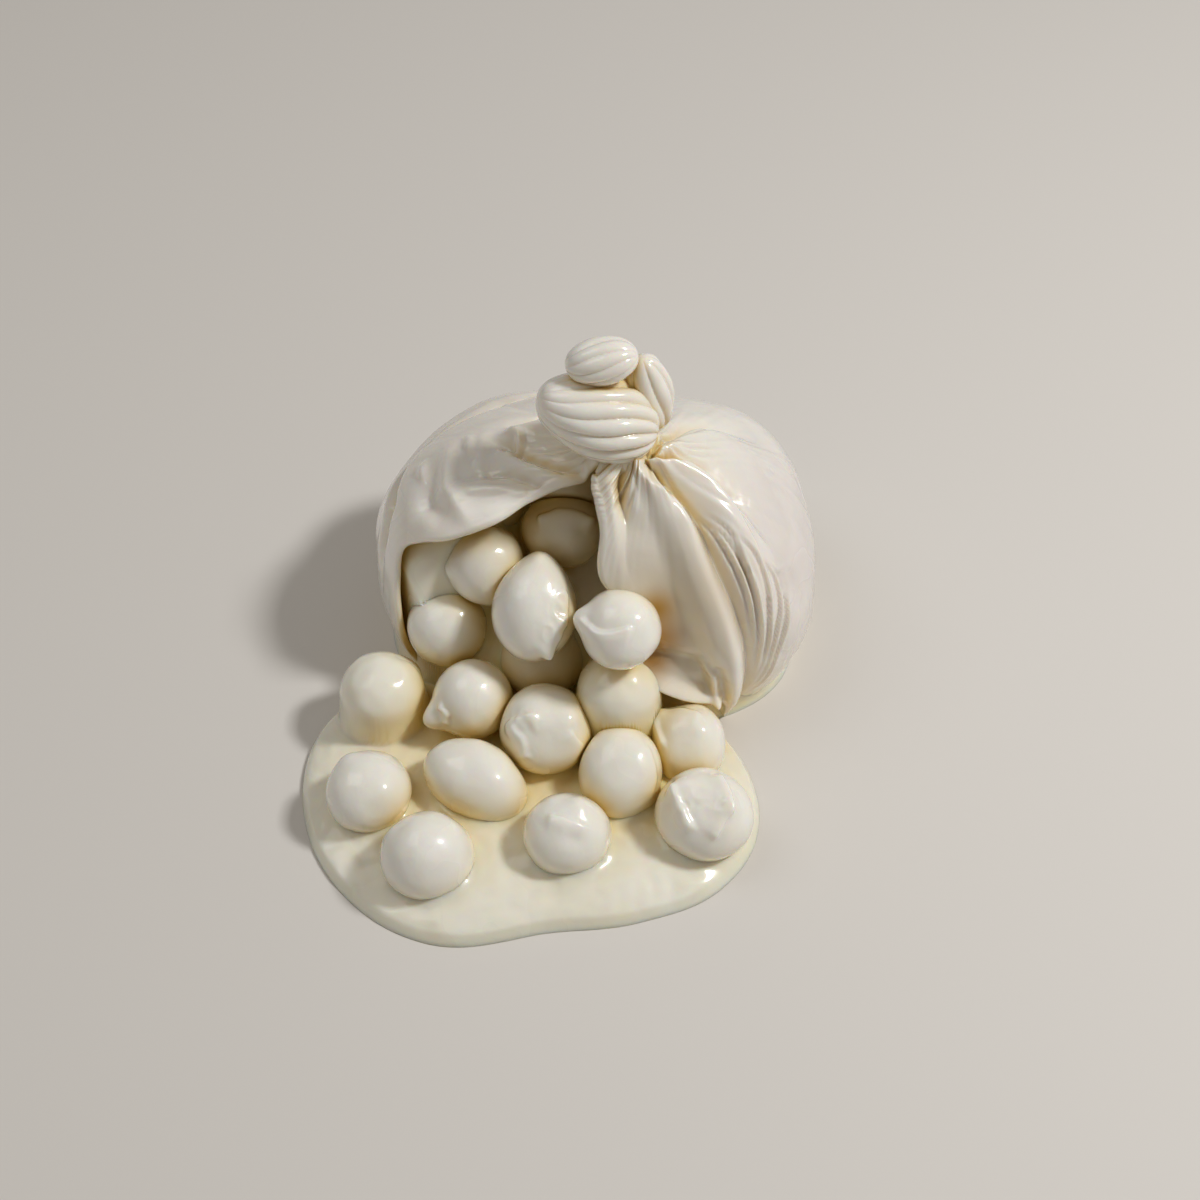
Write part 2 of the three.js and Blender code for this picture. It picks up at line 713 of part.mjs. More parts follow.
const pouch = largestBody(pouchSolid(0));
const pouchKeepOut = largestBody(pouchSolid(GAP));
const ballsKeepOut = BALLS.map((ball, i) => ballSolid(i, GAP));
const cream = ballsKeepOut.reduce((rest, ball) => rest.subtract(ball), creamSolid().subtract(pouchKeepOut));

const object = new THREE.Group();
object.position.set(-LAYOUT_CENTRE.x, -LAYOUT_CENTRE.y, 0);
object.add(meshOf("pouch", pouch, FINISH.pouch));
object.add(meshOf("cream", largestBody(cream), FINISH.cream));
BALLS.forEach((ball, i) => {
  const name = `ball_${String(i + 1).padStart(2, "0")}`;
  object.add(meshOf(name, largestBody(ballSolid(i, 0).subtract(pouchKeepOut)), FINISH.ball));
});

export default object;
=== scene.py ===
"""A tied pouch of mozzarella curd, cut open, with small balls in cream spilling out of it.

Sizes are in millimetres and angles in degrees, in the pouch's own layout, which faces -Y. Meshes
are made in metres, with the middle of the whole footprint at the origin.
"""

import logging
import math
from collections.abc import Sequence
from dataclasses import dataclass, field
from enum import Enum

import bmesh
import bpy
import numpy as np
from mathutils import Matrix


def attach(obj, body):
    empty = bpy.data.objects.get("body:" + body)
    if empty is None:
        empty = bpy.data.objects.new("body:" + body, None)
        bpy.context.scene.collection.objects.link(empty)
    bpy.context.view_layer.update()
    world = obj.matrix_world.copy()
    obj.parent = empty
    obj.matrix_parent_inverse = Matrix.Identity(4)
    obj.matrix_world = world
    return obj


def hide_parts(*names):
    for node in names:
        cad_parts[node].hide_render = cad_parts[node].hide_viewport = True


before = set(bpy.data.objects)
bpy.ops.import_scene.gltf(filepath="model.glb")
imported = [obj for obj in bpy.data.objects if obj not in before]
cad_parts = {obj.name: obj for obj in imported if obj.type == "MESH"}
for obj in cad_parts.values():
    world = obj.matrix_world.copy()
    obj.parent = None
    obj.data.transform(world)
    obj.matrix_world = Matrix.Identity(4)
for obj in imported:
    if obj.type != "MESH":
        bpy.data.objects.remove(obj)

Array = np.ndarray
Rows = Sequence[Sequence[float]]
Spot = tuple[float, float, float]

LOG = logging.getLogger("mozzarella")
MM = 0.001
BODY = "root"
LAYOUT_CENTRE = np.array([-7.2, -30.4, 0.0])

# The way from the object to the photograph's camera, and that view's right and up.
TO_CAMERA = np.array([0.0, -math.cos(math.radians(50)), math.sin(math.radians(50))])
SEEN_RIGHT = np.array([1.0, 0.0, 0.0])
SEEN_UP = np.array([0.0, math.sin(math.radians(50)), math.cos(math.radians(50))])


class Slot(Enum):
    """The record's material slots."""

    POUCH = "pouch_curd"
    BALL = "ball_curd"
    CREAM = "cream"


class Join(Enum):
    """How one solid is worked into another."""

    ADD = "UNION"
    CUT = "DIFFERENCE"


def smooth_through(rows: Rows, at: Array, column: int = 1) -> Array:
    """Smooth curve through rows of a place and its values.

    Args:
        rows: Rows in the order of their places.
        at: Places to read the curve at.
        column: Which value of each row to read.

    Returns:
        The value at each place.
    """
    table = np.asarray(rows, dtype=float)
    x, y = table[:, 0], table[:, column]
    last = len(x) - 1
    before = np.maximum(np.arange(last + 1) - 1, 0)
    after = np.minimum(np.arange(last + 1) + 1, last)
    slope = (y[after] - y[before]) / (x[after] - x[before])
    i = np.clip(np.searchsorted(x, at, side="right") - 1, 0, last - 1)
    h = x[i + 1] - x[i]
    u = np.clip((at - x[i]) / h, 0, 1)
    v = 1 - u
    ends = (1 + 2 * u) * v * v * y[i] + (3 - 2 * u) * u * u * y[i + 1]
    return ends + u * v * h * (v * slope[i] - u * slope[i + 1])


def smooth_round(rows: Rows, bearing: Array) -> Array:
    """Smooth curve through a table that goes once round.

    Args:
        rows: Rows of a bearing and a value.
        bearing: Bearings to read it at.

    Returns:
        The value at each bearing.
    """
    table = np.asarray(rows, dtype=float)
    turn = np.array([360.0, 0.0])
    wrapped = np.vstack([table[-2:] - turn, table, table[:2] + turn])
    return smooth_through(wrapped, np.mod(bearing, 360.0))


def smoothstep(x: Array, low: float, high: float) -> Array:
    """Soft step from 0 at low to 1 at high."""
    u = np.clip((x - low) / (high - low), 0, 1)
    return u * u * (3 - 2 * u)


def soft_most(a: Array, b: Array, blend: float) -> Array:
    """The larger of two values, with the change from one to the other rounded over by blend."""
    return np.logaddexp(a / blend, b / blend) * blend


def unit(values: Array) -> Array:
    """Vectors of length one."""
    values = np.asarray(values, dtype=float)
    return values / np.linalg.norm(values, axis=-1, keepdims=True)


def seen(right: float, up: float) -> Array:
    """Direction from a ball's middle to a place on it, as shares of its radius in the photo."""
    towards = math.sqrt(max(1 - right * right - up * up, 0.02))
    return unit(right * SEEN_RIGHT + up * SEEN_UP + towards * TO_CAMERA)


class Lumps:
    """Smooth noise in space, the same on each run."""

    def __init__(self, seed: int) -> None:
        """Sets up the noise.

        Args:
            seed: Number that the noise is drawn from.
        """
        draw = np.random.default_rng(seed)
        self.slopes = unit(draw.normal(size=(256, 3)))
        self.order = draw.permutation(256)

    def at(self, points: Array, size: float | Array) -> Array:
        """Noise at points.

        Args:
            points: Points in millimetres.
            size: How wide a lump is, the same in each direction or as three values.

        Returns:
            Values of about -1 to 1.
        """
        places = points / np.asarray(size, dtype=float)
        cell = np.floor(places).astype(int)
        inside = places - cell
        ease = inside**3 * (inside * (inside * 6 - 15) + 10)
        total = np.zeros(points.shape[:-1])
        for corner in np.ndindex(2, 2, 2):
            step = np.array(corner)
            x, y, z = np.moveaxis((cell + step) & 255, -1, 0)
            key = self.order[(self.order[(self.order[x] + y) & 255] + z) & 255]
            dot = (self.slopes[key] * (inside - step)).sum(-1)
            total += dot * np.where(step == 1, ease, 1 - ease).prod(-1)
        return 1.6 * total


LUMPS = Lumps(7)


class Draft:
    """Points and faces that are gathered and then made into one object."""

    def __init__(self) -> None:
        """Starts with no points."""
        self.points: list[Array] = []
        self.faces: list[list[int]] = []
        self.count = 0

    def add(self, points: Array) -> Array:
        """Adds points of any grid shape.

        Args:
            points: Array whose last axis holds x, y and z.

        Returns:
            The points' numbers, in the same grid shape.
        """
        flat = points.reshape(-1, 3)
        numbers = np.arange(self.count, self.count + len(flat)).reshape(points.shape[:-1])
        self.points.append(flat)
        self.count += len(flat)
        return numbers

    def quads(self, grid: Array) -> None:
        """Covers a grid of point numbers with four-sided faces."""
        corners = (grid[:-1, :-1], grid[:-1, 1:], grid[1:, 1:], grid[1:, :-1])
        self.faces += np.stack(corners, axis=-1).reshape(-1, 4).tolist()

    def fan(self, middle: int, ring: Array) -> None:
        """Joins a closed ring of point numbers to one point."""
        tips = np.full(len(ring), middle)
        self.faces += np.stack([tips, ring, np.roll(ring, -1)], axis=-1).tolist()

    def made(self, name: str) -> bpy.types.Object:
        """Makes the object, in metres and in the row's frame.

        Args:
            name: The object's name.

        Returns:
            The new object.
        """
        points = (np.vstack(self.points) - LAYOUT_CENTRE) * MM
        mesh = bpy.data.meshes.new(name)
        mesh.from_pydata(points.tolist(), [], self.faces)
        mesh.validate()
        made = bpy.data.objects.new(name, mesh)
        bpy.context.scene.collection.objects.link(made)
        return made


def work_in(base: bpy.types.Object, others: list[bpy.types.Object], how: Join) -> None:
    """Adds solids to another, or cuts them out of it, and removes them.

    Args:
        base: The solid that is changed.
        others: The solids that are worked into it.
        how: Whether they are added or cut out.
    """
    for other in others:
        step = base.modifiers.new(how.name, "BOOLEAN")
        step.operation = how.value
        step.solver = "MANIFOLD"
        step.object = other
    depsgraph = bpy.context.evaluated_depsgraph_get()
    mesh = bpy.data.meshes.new_from_object(base.evaluated_get(depsgraph))
    base.modifiers.clear()
    base.data = mesh
    for other in others:
        spare = other.data
        bpy.data.objects.remove(other)
        bpy.data.meshes.remove(spare)


def shaded(piece: bpy.types.Object) -> bpy.types.Object:
    """The same piece, shaded smoothly."""
    piece.data.polygons.foreach_set("use_smooth", [True] * len(piece.data.polygons))
    return piece


@dataclass(frozen=True)
class Sack:
    """The plain sack, before its pleats: a reach round it and a profile down it."""

    neck: tuple[float, float] = (16, -3)
    body: tuple[float, float] = (-2, 9)
    # Along the sack from neck to base: station, share of the reach, height.
    profile: Rows = (
        (0.0, 0.1, 92), (0.1, 0.2, 87), (0.25, 0.42, 80), (0.4, 0.66, 72), (0.53, 0.86, 61),
        (0.64, 0.96, 48), (0.75, 1.0, 33), (0.87, 0.98, 16), (1.0, 0.88, 0),
    )
    # How far the sack reaches sideways, by bearing.
    reach: Rows = (
        (0, 78), (30, 76), (60, 59), (90, 52), (120, 58), (150, 62), (180, 67), (225, 62),
        (270, 47), (315, 70), (335, 79),
    )

    def radius(self, bearing: Array, station: Array) -> Array:
        """How far the sack is from its axis."""
        return smooth_through(self.profile, station) * smooth_round(self.reach, bearing)

    def axis(self, station: Array) -> tuple[Array, Array]:
        """Where the middle of the sack lies.

        Args:
            station: Shares of the way from neck to base.

        Returns:
            The middle's x and its y at each station.
        """
        weight = smoothstep(smooth_through(self.profile, station), 0, 1)
        x = self.neck[0] + (self.body[0] - self.neck[0]) * weight
        return x, self.neck[1] + (self.body[1] - self.neck[1]) * weight

    def point(self, bearing: Array, station: Array) -> Array:
        """Points of the sack.

        Args:
            bearing: Bearings round the axis.
            station: Shares of the way from neck to base.

        Returns:
            The points.
        """
        x, y = self.axis(station)
        reach = self.radius(bearing, station)
        angle = np.radians(bearing)
        height = smooth_through(self.profile, station, 2)
        spots = (x + reach * np.cos(angle), y + reach * np.sin(angle), height)
        return np.stack(np.broadcast_arrays(*spots), axis=-1)

    def outward(self, bearing: Array, station: Array) -> Array:
        """The way out of the sack at points.

        Args:
            bearing: Bearings round the axis.
            station: Shares of the way from neck to base.

        Returns:
            A vector of length one for each point.
        """
        step = 0.01
        low, high = np.maximum(station - step, 0), np.minimum(station + step, 1)
        along = self.point(bearing, high) - self.point(bearing, low)
        across = self.point(bearing + 1, station) - self.point(bearing - 1, station)
        return unit(np.cross(along, across))


@dataclass(frozen=True)
class Pleat:
    """A line down the wall: at each station its bearing, and how far the wall stands out."""

    name: str
    path: Rows
    sharp: bool = False


@dataclass(frozen=True)
class Fold:
    """A soft rise or crease across the pleats, along a path of bearing, station, strength."""

    name: str
    height: float
    width: float
    path: Rows

    def lift(self, points: Array, sack: Sack) -> Array:
        """How far the fold lifts points of the sack.

        Args:
            points: Points on the plain sack.
            sack: The sack that the path is read on.

        Returns:
            The lift at each point.
        """
        table = np.asarray(self.path, dtype=float)
        line = sack.point(table[:, 0], table[:, 1])
        best = np.full(points.shape[:-1], np.inf)
        strength = np.zeros(points.shape[:-1])
        for i in range(len(line) - 1):
            way = line[i + 1] - line[i]
            share = np.clip(((points - line[i]) @ way) / (way @ way), 0, 1)
            apart = np.linalg.norm(points - line[i] - share[..., None] * way, axis=-1)
            closer = apart < best
            best = np.where(closer, apart, best)
            here = table[i, 2] + (table[i + 1, 2] - table[i, 2]) * share
            strength = np.where(closer, here, strength)
        return self.height * strength * np.exp(-((best / self.width) ** 2))


@dataclass(frozen=True)
class Wrinkle:
    """A fine line that runs down the sack, along a path of station, bearing, strength."""

    path: Rows
    height: float
    width: float

    def lift(self, bearing: Array, station: Array, radius: Array) -> Array:
        """How far the wrinkle lifts places on the sack.

        Args:
            bearing: The places' bearings.
            station: Their stations.
            radius: How far they are from the sack's axis.

        Returns:
            The lift at each place.
        """
        table = np.asarray(self.path, dtype=float)
        away = np.radians(bearing - smooth_through(table, station)) * radius
        strength = smooth_through(table, station, 2)
        strength = np.where((station < table[0, 0]) | (station > table[-1, 0]), 0, strength)
        return self.height * strength * np.exp(-((away / self.width) ** 2))


# From one side of the cut round to the other, each as station, bearing, lift.
PLEATS = (
    Pleat("right side of the cut", (
        (0, -146, 0), (0.08, -144, 0.4), (0.19, -110, 1.2), (0.33, -87, 1.2), (0.5, -80, 0.4),
        (0.58, -71.5, 0), (0.67, -66, 0), (0.75, -68, 0), (0.82, -59.5, 0), (0.89, -51.5, 0),
        (0.95, -48.5, 0), (1, -47, 0),
    )),
    Pleat("strip beside the cut", (
        (0, -130, 1), (0.08, -126, 1.8), (0.19, -101, 2), (0.33, -82, 1.4), (0.5, -76, 0.4),
        (0.58, -68.5, 0.2), (0.67, -63.5, 0.2), (0.75, -64, 0.2), (0.82, -57, 0),
        (0.89, -50, 0), (1, -46, 0),
    )),
    Pleat("valley beside the strip", (
        (0, -114, -1), (0.08, -110, -2.2), (0.2, -90, -2.4), (0.3, -77, -1.2), (0.45, -72, -0.4),
        (0.6, -64, -0.5), (0.7, -60.5, -0.5), (0.8, -56, -0.5), (0.89, -48.7, 0), (1, -45, 0),
    ), sharp=True),
    Pleat("front panel", (
        (0, -100, 1), (0.1, -82, 2), (0.2, -70, 1.2), (0.33, -62, -0.6), (0.5, -59, -1.4),
        (0.65, -56, -1.8), (0.84, -51, -1), (0.92, -46.6, 0), (1, -43.9, 0),
    )),
    Pleat("plump front ridge", (
        (0, -86, 2), (0.07, -68, 3), (0.14, -53, 3.6), (0.25, -47, 3.8), (0.4, -48, 3.8),
        (0.55, -48, 3.8), (0.7, -46.5, 3.8), (0.85, -45.5, 3.6), (1, -42.5, 2.4),
    )),
    Pleat("deep crease", (
        (0, -60, -1.6), (0.06, -50, -3), (0.17, -41, -3.8), (0.3, -39.5, -4.2), (0.5, -42, -4.2),
        (0.75, -41, -3.4), (0.9, -40, -2), (1, -39, -1),
    ), sharp=True),
    Pleat("second ridge", (
        (0, -40, 1.4), (0.05, -22, 2.8), (0.14, -15, 3.8), (0.28, -24, 3.8), (0.42, -30.5, 3),
        (0.56, -35, 1.4), (0.7, -35, 0.6), (1, -33, 0.4),
    )),
    Pleat("second valley", (
        (0, -28, -1.4), (0.05, -13, -2.8), (0.12, -8, -3.6), (0.22, -13, -3.6), (0.34, -18, -3),
        (0.46, -23, -1.4), (0.6, -28, 0), (1, -25, 0),
    ), sharp=True),
    Pleat("third ridge", (
        (0, -8, 1.2), (0.05, 8, 2.4), (0.16, 22, 3.4), (0.28, 16, 3), (0.4, 5, 1.5),
        (0.55, -3, 0), (1, -4, 0),
    )),
    Pleat("third valley", (
        (0, 14, -1), (0.05, 28, -2.2), (0.16, 35, -3), (0.3, 26, -2.2), (0.44, 16, -0.9),
        (0.6, 13, 0), (1, 14, 0),
    ), sharp=True),
    Pleat("right swell", (
        (0, 36, 1.2), (0.1, 50, 1.6), (0.25, 46, 1.2), (0.5, 34, 0), (1, 33, 0),
    )),
    Pleat("first back valley", (
        (0, 62, -1.2), (0.1, 68, -2), (0.25, 64, -1.6), (0.5, 54, -0.4), (0.7, 54, 0), (1, 54, 0),
    ), sharp=True),
    Pleat("first back ridge", (
        (0, 78, 1.2), (0.15, 80, 1.8), (0.4, 76, 1), (0.7, 74, 0), (1, 74, 0),
    )),
    Pleat("second back valley", (
        (0, 96, -1.2), (0.12, 93, -2.2), (0.4, 92, -1.2), (0.65, 94, 0), (1, 94, 0),
    ), sharp=True),
    Pleat("second back ridge", (
        (0, 112, 1.2), (0.15, 108, 1.8), (0.4, 110, 0.8), (0.7, 114, 0), (1, 114, 0),
    )),
    Pleat("third back valley", (
        (0, 130, -1.2), (0.12, 124, -2.2), (0.35, 128, -1.2), (0.6, 134, 0), (1, 134, 0),
    ), sharp=True),
    Pleat("left back ridge", (
        (0, 150, 1), (0.15, 144, 1.2), (0.4, 150, 0.4), (0.7, 154, 0), (1, 154, 0),
    )),
    Pleat("left shoulder", (
        (0, 168, 0.4), (0.2, 166, 0), (0.4, 170, 0.6), (0.7, 174, 0), (1, 175, 0),
    )),
    Pleat("left flap", (
        (0, 182, 0.6), (0.1, 180, 0.6), (0.22, 186, 0.8), (0.36, 196, 1.8), (0.48, 193, 1.6),
        (0.58, 187, 0), (1, 192, 0),
    )),
    Pleat("left side of the cut", (
        (0, 196, 0), (0.08, 190, 0), (0.14, 198, 0), (0.2, 202, 0), (0.27, 208, 0.4),
        (0.36, 214, 1.4), (0.46, 210, 1.2), (0.52, 203, 0.4), (0.58, 199, 0), (0.66, 203, 0),
        (0.74, 206, 0), (1, 209, 0),
    )),
)

FOLDS = (
    Fold("shoulder crease on the left", -3.4, 2.6, (
        (104, 0.44, 0.2), (115, 0.45, 0.6), (128, 0.48, 1), (145, 0.52, 1), (156, 0.555, 1),
        (166, 0.575, 1), (182, 0.575, 0.9), (190, 0.65, 0.6), (194, 0.74, 0.2),
    )),
    Fold("thin line in the shoulder crease", -1.4, 0.8, (
        (110, 0.447, 0.2), (120, 0.462, 0.8), (145, 0.52, 1), (156, 0.555, 1), (166, 0.575, 1),
        (182, 0.575, 1), (190, 0.65, 0.4),
    )),
    Fold("bulge outside the crease", 2.6, 4.0, (
        (118, 0.54, 0.3), (140, 0.61, 1), (154, 0.65, 1), (166, 0.67, 0.7), (180, 0.7, 0.2),
    )),
    Fold("plump lip by the neck", 5.0, 4.0, (
        (186, 0.05, 0.7), (168, 0.1, 1), (155, 0.14, 1), (147, 0.2, 1), (148, 0.25, 0.9),
        (154, 0.3, 0.5), (160, 0.33, 0.1),
    )),
    Fold("roll at the flap's edge", 2.4, 3.0, (
        (200, 0.17, 0.4), (194, 0.21, 1), (184, 0.25, 1), (172, 0.3, 0.5),
    )),
    Fold("line under the lip", -3.0, 1.5, (
        (198, 0.12, 0.5), (193, 0.16, 1), (186, 0.195, 1), (173, 0.25, 1), (166, 0.29, 0.7),
        (160, 0.36, 0.1),
    )),
    Fold("hollow behind the lip", -3.4, 2.4, (
        (128, 0.3, 0.4), (134, 0.29, 1), (140, 0.29, 1), (146, 0.33, 0.3),
    )),
    Fold("first low ridge over the flap", 1.5, 2.2, (
        (158, 0.37, 0.2), (171, 0.345, 1), (184, 0.34, 0.9), (194, 0.33, 0.2),
    )),
    Fold("second low ridge over the flap", 1.6, 2.6, (
        (164, 0.44, 0.2), (176, 0.41, 1), (190, 0.41, 1), (206, 0.4, 0.3),
    )),
    Fold("dip above the flap's edge", -1.8, 3.6, (
        (182, 0.45, 0.3), (194, 0.455, 1), (204, 0.44, 0.4),
    )),
    Fold("curl behind the lip", 2.2, 1.5, (
        (153, 0.32, 0.3), (159, 0.28, 1), (166, 0.27, 1), (171, 0.28, 0.5),
    )),
    Fold("knuckle on the flap", 1.7, 1.5, (
        (160, 0.4, 0.4), (166, 0.38, 1), (172, 0.36, 0.5),
    )),
    Fold("knuckle by the shoulder crease", 1.5, 1.5, (
        (172, 0.48, 0.5), (176, 0.47, 1), (181, 0.46, 0.5),
    )),
    Fold("crease in the lip", -1.6, 0.9, (
        (151, 0.17, 0.5), (163, 0.13, 1), (181, 0.1, 0.7),
    )),
    Fold("crease below the lip", -1.5, 1.2, (
        (186, 0.38, 0.3), (188, 0.33, 0.8), (189, 0.28, 1), (195, 0.25, 1), (202, 0.23, 0.6),
    )),
    Fold("ridge below the crease", 1.4, 1.8, (
        (193, 0.4, 0.3), (195, 0.36, 1), (198, 0.31, 1), (203, 0.27, 0.6),
    )),
    Fold("dimple on the right wall", -1.4, 5.0, (
        (-29, 0.55, 0.4), (-26, 0.6, 1), (-25, 0.66, 0.4),
    )),
    Fold("curled hem under the panel", 5.6, 2.2, (
        (-69, 0.745, 0.8), (-64, 0.768, 0.9), (-58, 0.795, 1), (-53, 0.82, 1), (-50, 0.84, 0.8),
    )),
    Fold("hollow above the hem", -3.0, 3.2, (
        (-68, 0.69, 0.8), (-62, 0.705, 1), (-56, 0.73, 0.9), (-52, 0.75, 0.3),
    )),
    Fold("twist at the hem's end", 2.8, 1.4, (
        (-53, 0.73, 0.5), (-51, 0.76, 1), (-50.5, 0.8, 1), (-49, 0.86, 0.6), (-48.5, 0.9, 0.2),
    )),
    Fold("groove beside the twist", -1.8, 1.2, (
        (-49.5, 0.74, 0.4), (-48.3, 0.78, 1), (-47.5, 0.84, 0.6),
    )),
)


def creases() -> list[Wrinkle]:
    """The fine wrinkles: those that run beside the deep crease, and those down the right wall.

    Returns:
        The wrinkles, each dark line followed by the rise beside it.
    """
    lines = []
    spans = ((0.26, 0.74), (0.3, 0.82), (0.28, 0.7), (0.38, 0.84), (0.48, 0.88), (0.5, 0.92))
    for i, (first, last) in enumerate(spans):
        bend = (
            (first, -37.5 + 1.7 * i, 0), (first + 0.1, -36.8 + 1.8 * i, 1),
            (last - 0.16, -38.8 + 1.0 * i, 1), (last, -39.6 + 0.5 * i, 0),
        )
        lines.append(Wrinkle(bend, -1.25 + 0.08 * i, 0.55))
        beside = tuple((s, b + 0.85, w) for s, b, w in bend)
        lines.append(Wrinkle(beside, 0.65, 0.6))
    for i in range(4):
        start = 0.1 + 0.03 * i
        bend = (
            (start, -10 - 3 * i, 0), (start + 0.07, -12.5 - 2.6 * i, 1),
            (start + 0.22, -20 - 2.2 * i, 0.8), (start + 0.36, -25.5 - 1.8 * i, 0),
        )
        lines.append(Wrinkle(bend, -0.8, 0.6))
    return lines


@dataclass(frozen=True)
class Wall:
    """The sack's pleated wall, as a sheet with round edges."""

    sack: Sack
    thickness: float = 4.6
    # Share of the pleats that shows on the inner face.
    inside_share: float = 0.65
    # The first pleats after the front and of the flap, and the columns from pleat to pleat.
    back_from: int = 10
    flap_from: int = 16
    front_columns: int = 16
    back_columns: int = 9
    flap_columns: int = 20
    rows: int = 216
    rim_steps: int = 7
    # Share of the thickness that the hem under the front panel and the flap's edge keep, and how
    # many times thicker the cut end is at the foot of the front ridge.
    hem_share: float = 0.5
    flap_share: float = 0.5
    end_thickness: float = 1.8
    # How far the cut end's outer and inner edge are turned away from each other.
    end_turn: tuple[float, float] = (4.0, -3.0)
    # Height and width of the soft lumps, and heights of the neck's gathers and fine fans.
    lumps: Rows = ((0.55, 17), (0.22, 8))
    gathers: float = 1.0
    fans: float = 0.7
    # Heights of the streaks down the wall, all round and added on the right, and where the right
    # is: its middle bearing and its half width.
    streaks: tuple[float, float] = (0.12, 0.34)
    right: tuple[float, float] = (-12, 34)

    def across(self) -> Array:
        """Places across the pleats that the sheet has columns at.

        Returns:
            The places, from 0 at the first pleat to the number of the last one.
        """
        coarse = 1
        last = len(PLEATS) - 1
        front = np.arange(0, self.back_from, coarse / self.front_columns)
        back = np.arange(self.back_from, self.flap_from, coarse / self.back_columns)
        columns = (last - self.flap_from) * self.flap_columns // coarse
        return np.concatenate([front, back, np.linspace(self.flap_from, last, columns + 1)])

    def faces(self, across: Array, station: Array) -> tuple[Array, Array]:
        """The outer and inner face of the sheet.

        Args:
            across: Places across the pleats.
            station: Stations down the sack.

        Returns:
            Two grids of points, one row for each place across.
        """
        bearings = np.stack([smooth_through(p.path, station, 1) for p in PLEATS])
        lifts = np.stack([smooth_through(p.path, station, 2) for p in PLEATS])
        number = np.minimum(np.floor(across).astype(int), len(PLEATS) - 2)
        share = across - number
        sharp = np.array([p.sharp for p in PLEATS])
        eased = smoothstep(share, 0, 1)
        eased = np.where(sharp[number], np.sin(share * math.pi / 2), eased)
        eased = np.where(sharp[number + 1], 1 - np.cos(share * math.pi / 2), eased)
        share, eased = share[:, None], eased[:, None]
        bearing = bearings[number] * (1 - share) + bearings[number + 1] * share
        lift = lifts[number] * (1 - eased) + lifts[number + 1] * eased
        station = np.broadcast_to(station, bearing.shape)
        turned = smoothstep(station, 0.82, 0.92) * (1 - smoothstep(across[:, None], 0, 3.2))
        sides = []
        for turn, share, deep in zip(self.end_turn, (1, self.inside_share), (0, 1), strict=True):
            here = bearing + turn * turned
            plain = self.sack.point(here, station)
            raised = lift + sum(fold.lift(plain, self.sack) for fold in FOLDS)
            raised = raised + self.fine(here, station, plain)
            raised = raised * share - deep * self.depth(across[:, None], station)
            face = plain + self.sack.outward(here, station) * raised[..., None]
            face[..., 2] = np.maximum(face[..., 2], 0)
            sides.append(face)
        return sides[0], sides[1]

    def depth(self, across: Array, station: Array) -> Array:
        """How thick the sheet is: thin at the hem and the flap, thick at the cut end.

        Args:
            across: Places across the pleats.
            station: Stations down the sack.

        Returns:
            The thickness at each place.
        """
        hem = smoothstep(station, 0.6, 0.72) * (1 - smoothstep(station, 0.8, 0.9))
        hem = hem * (1 - smoothstep(across, 0.4, 2.6))
        flap = smoothstep(across, 17.2, 19) * smoothstep(station, 0.16, 0.3)
        end = smoothstep(station, 0.84, 0.94) * (1 - smoothstep(across, 2.6, 4.6))
        share = 1 - (1 - self.hem_share) * hem - (1 - self.flap_share) * flap
        return self.thickness * (share + (self.end_thickness - 1) * end)

    def fine(self, bearing: Array, station: Array, plain: Array) -> Array:
        """The small lifts: gathers at the neck, wrinkles, streaks and soft lumps.

        Args:
            bearing: Bearings of the places.
            station: Their stations.
            plain: The plain sack's points there.

        Returns:
            The lift at each place.
        """
        radius = self.sack.radius(bearing, station)
        round_axis = np.stack([
            np.cos(np.radians(bearing)), np.sin(np.radians(bearing)), 0.25 * station,
        ], axis=-1)
        gathers = LUMPS.at(round_axis, 0.085) * np.exp(-((station - 0.1) / 0.16) ** 2)
        strands = LUMPS.at(round_axis * (1, 1, 0.4), 0.045) * smoothstep(station, 0.1, 0.3)
        right = np.exp(-(((bearing - self.right[0]) / self.right[1]) ** 2))
        lumps = sum(height * LUMPS.at(plain, size) for height, size in self.lumps)
        fans = LUMPS.at(round_axis, 0.05) * np.exp(-((station - 0.12) / 0.12) ** 2)
        streaks = self.streaks[0] + self.streaks[1] * right
        lift = self.gathers * gathers + self.fans * fans + streaks * strands + lumps
        return lift + sum(line.lift(bearing, station, radius) for line in creases())

    def rim(self, outer: Array, inner: Array, beside: Array, round_share: Array) -> Array:
        """The edge of the sheet along one side of the cut.

        Args:
            outer: The outer face's last column.
            inner: The inner face's last column.
            beside: The outer face's column before it.
            round_share: How round the edge is at each station, from 0 for flat to 1.

        Returns:
            Columns from the outer face round to the inner one.
        """
        middle, half = (outer + inner) / 2, (outer - inner) / 2
        thick = np.linalg.norm(half, axis=-1, keepdims=True)
        aside = outer - beside
        aside -= half * ((aside * half).sum(-1, keepdims=True) / np.maximum(thick**2, 1e-6))
        aside = unit(aside) * thick * round_share[:, None]
        turns = np.linspace(0, math.pi, self.rim_steps + 2)[1:-1]
        return np.stack([middle + half * math.cos(t) + aside * math.sin(t) for t in turns])

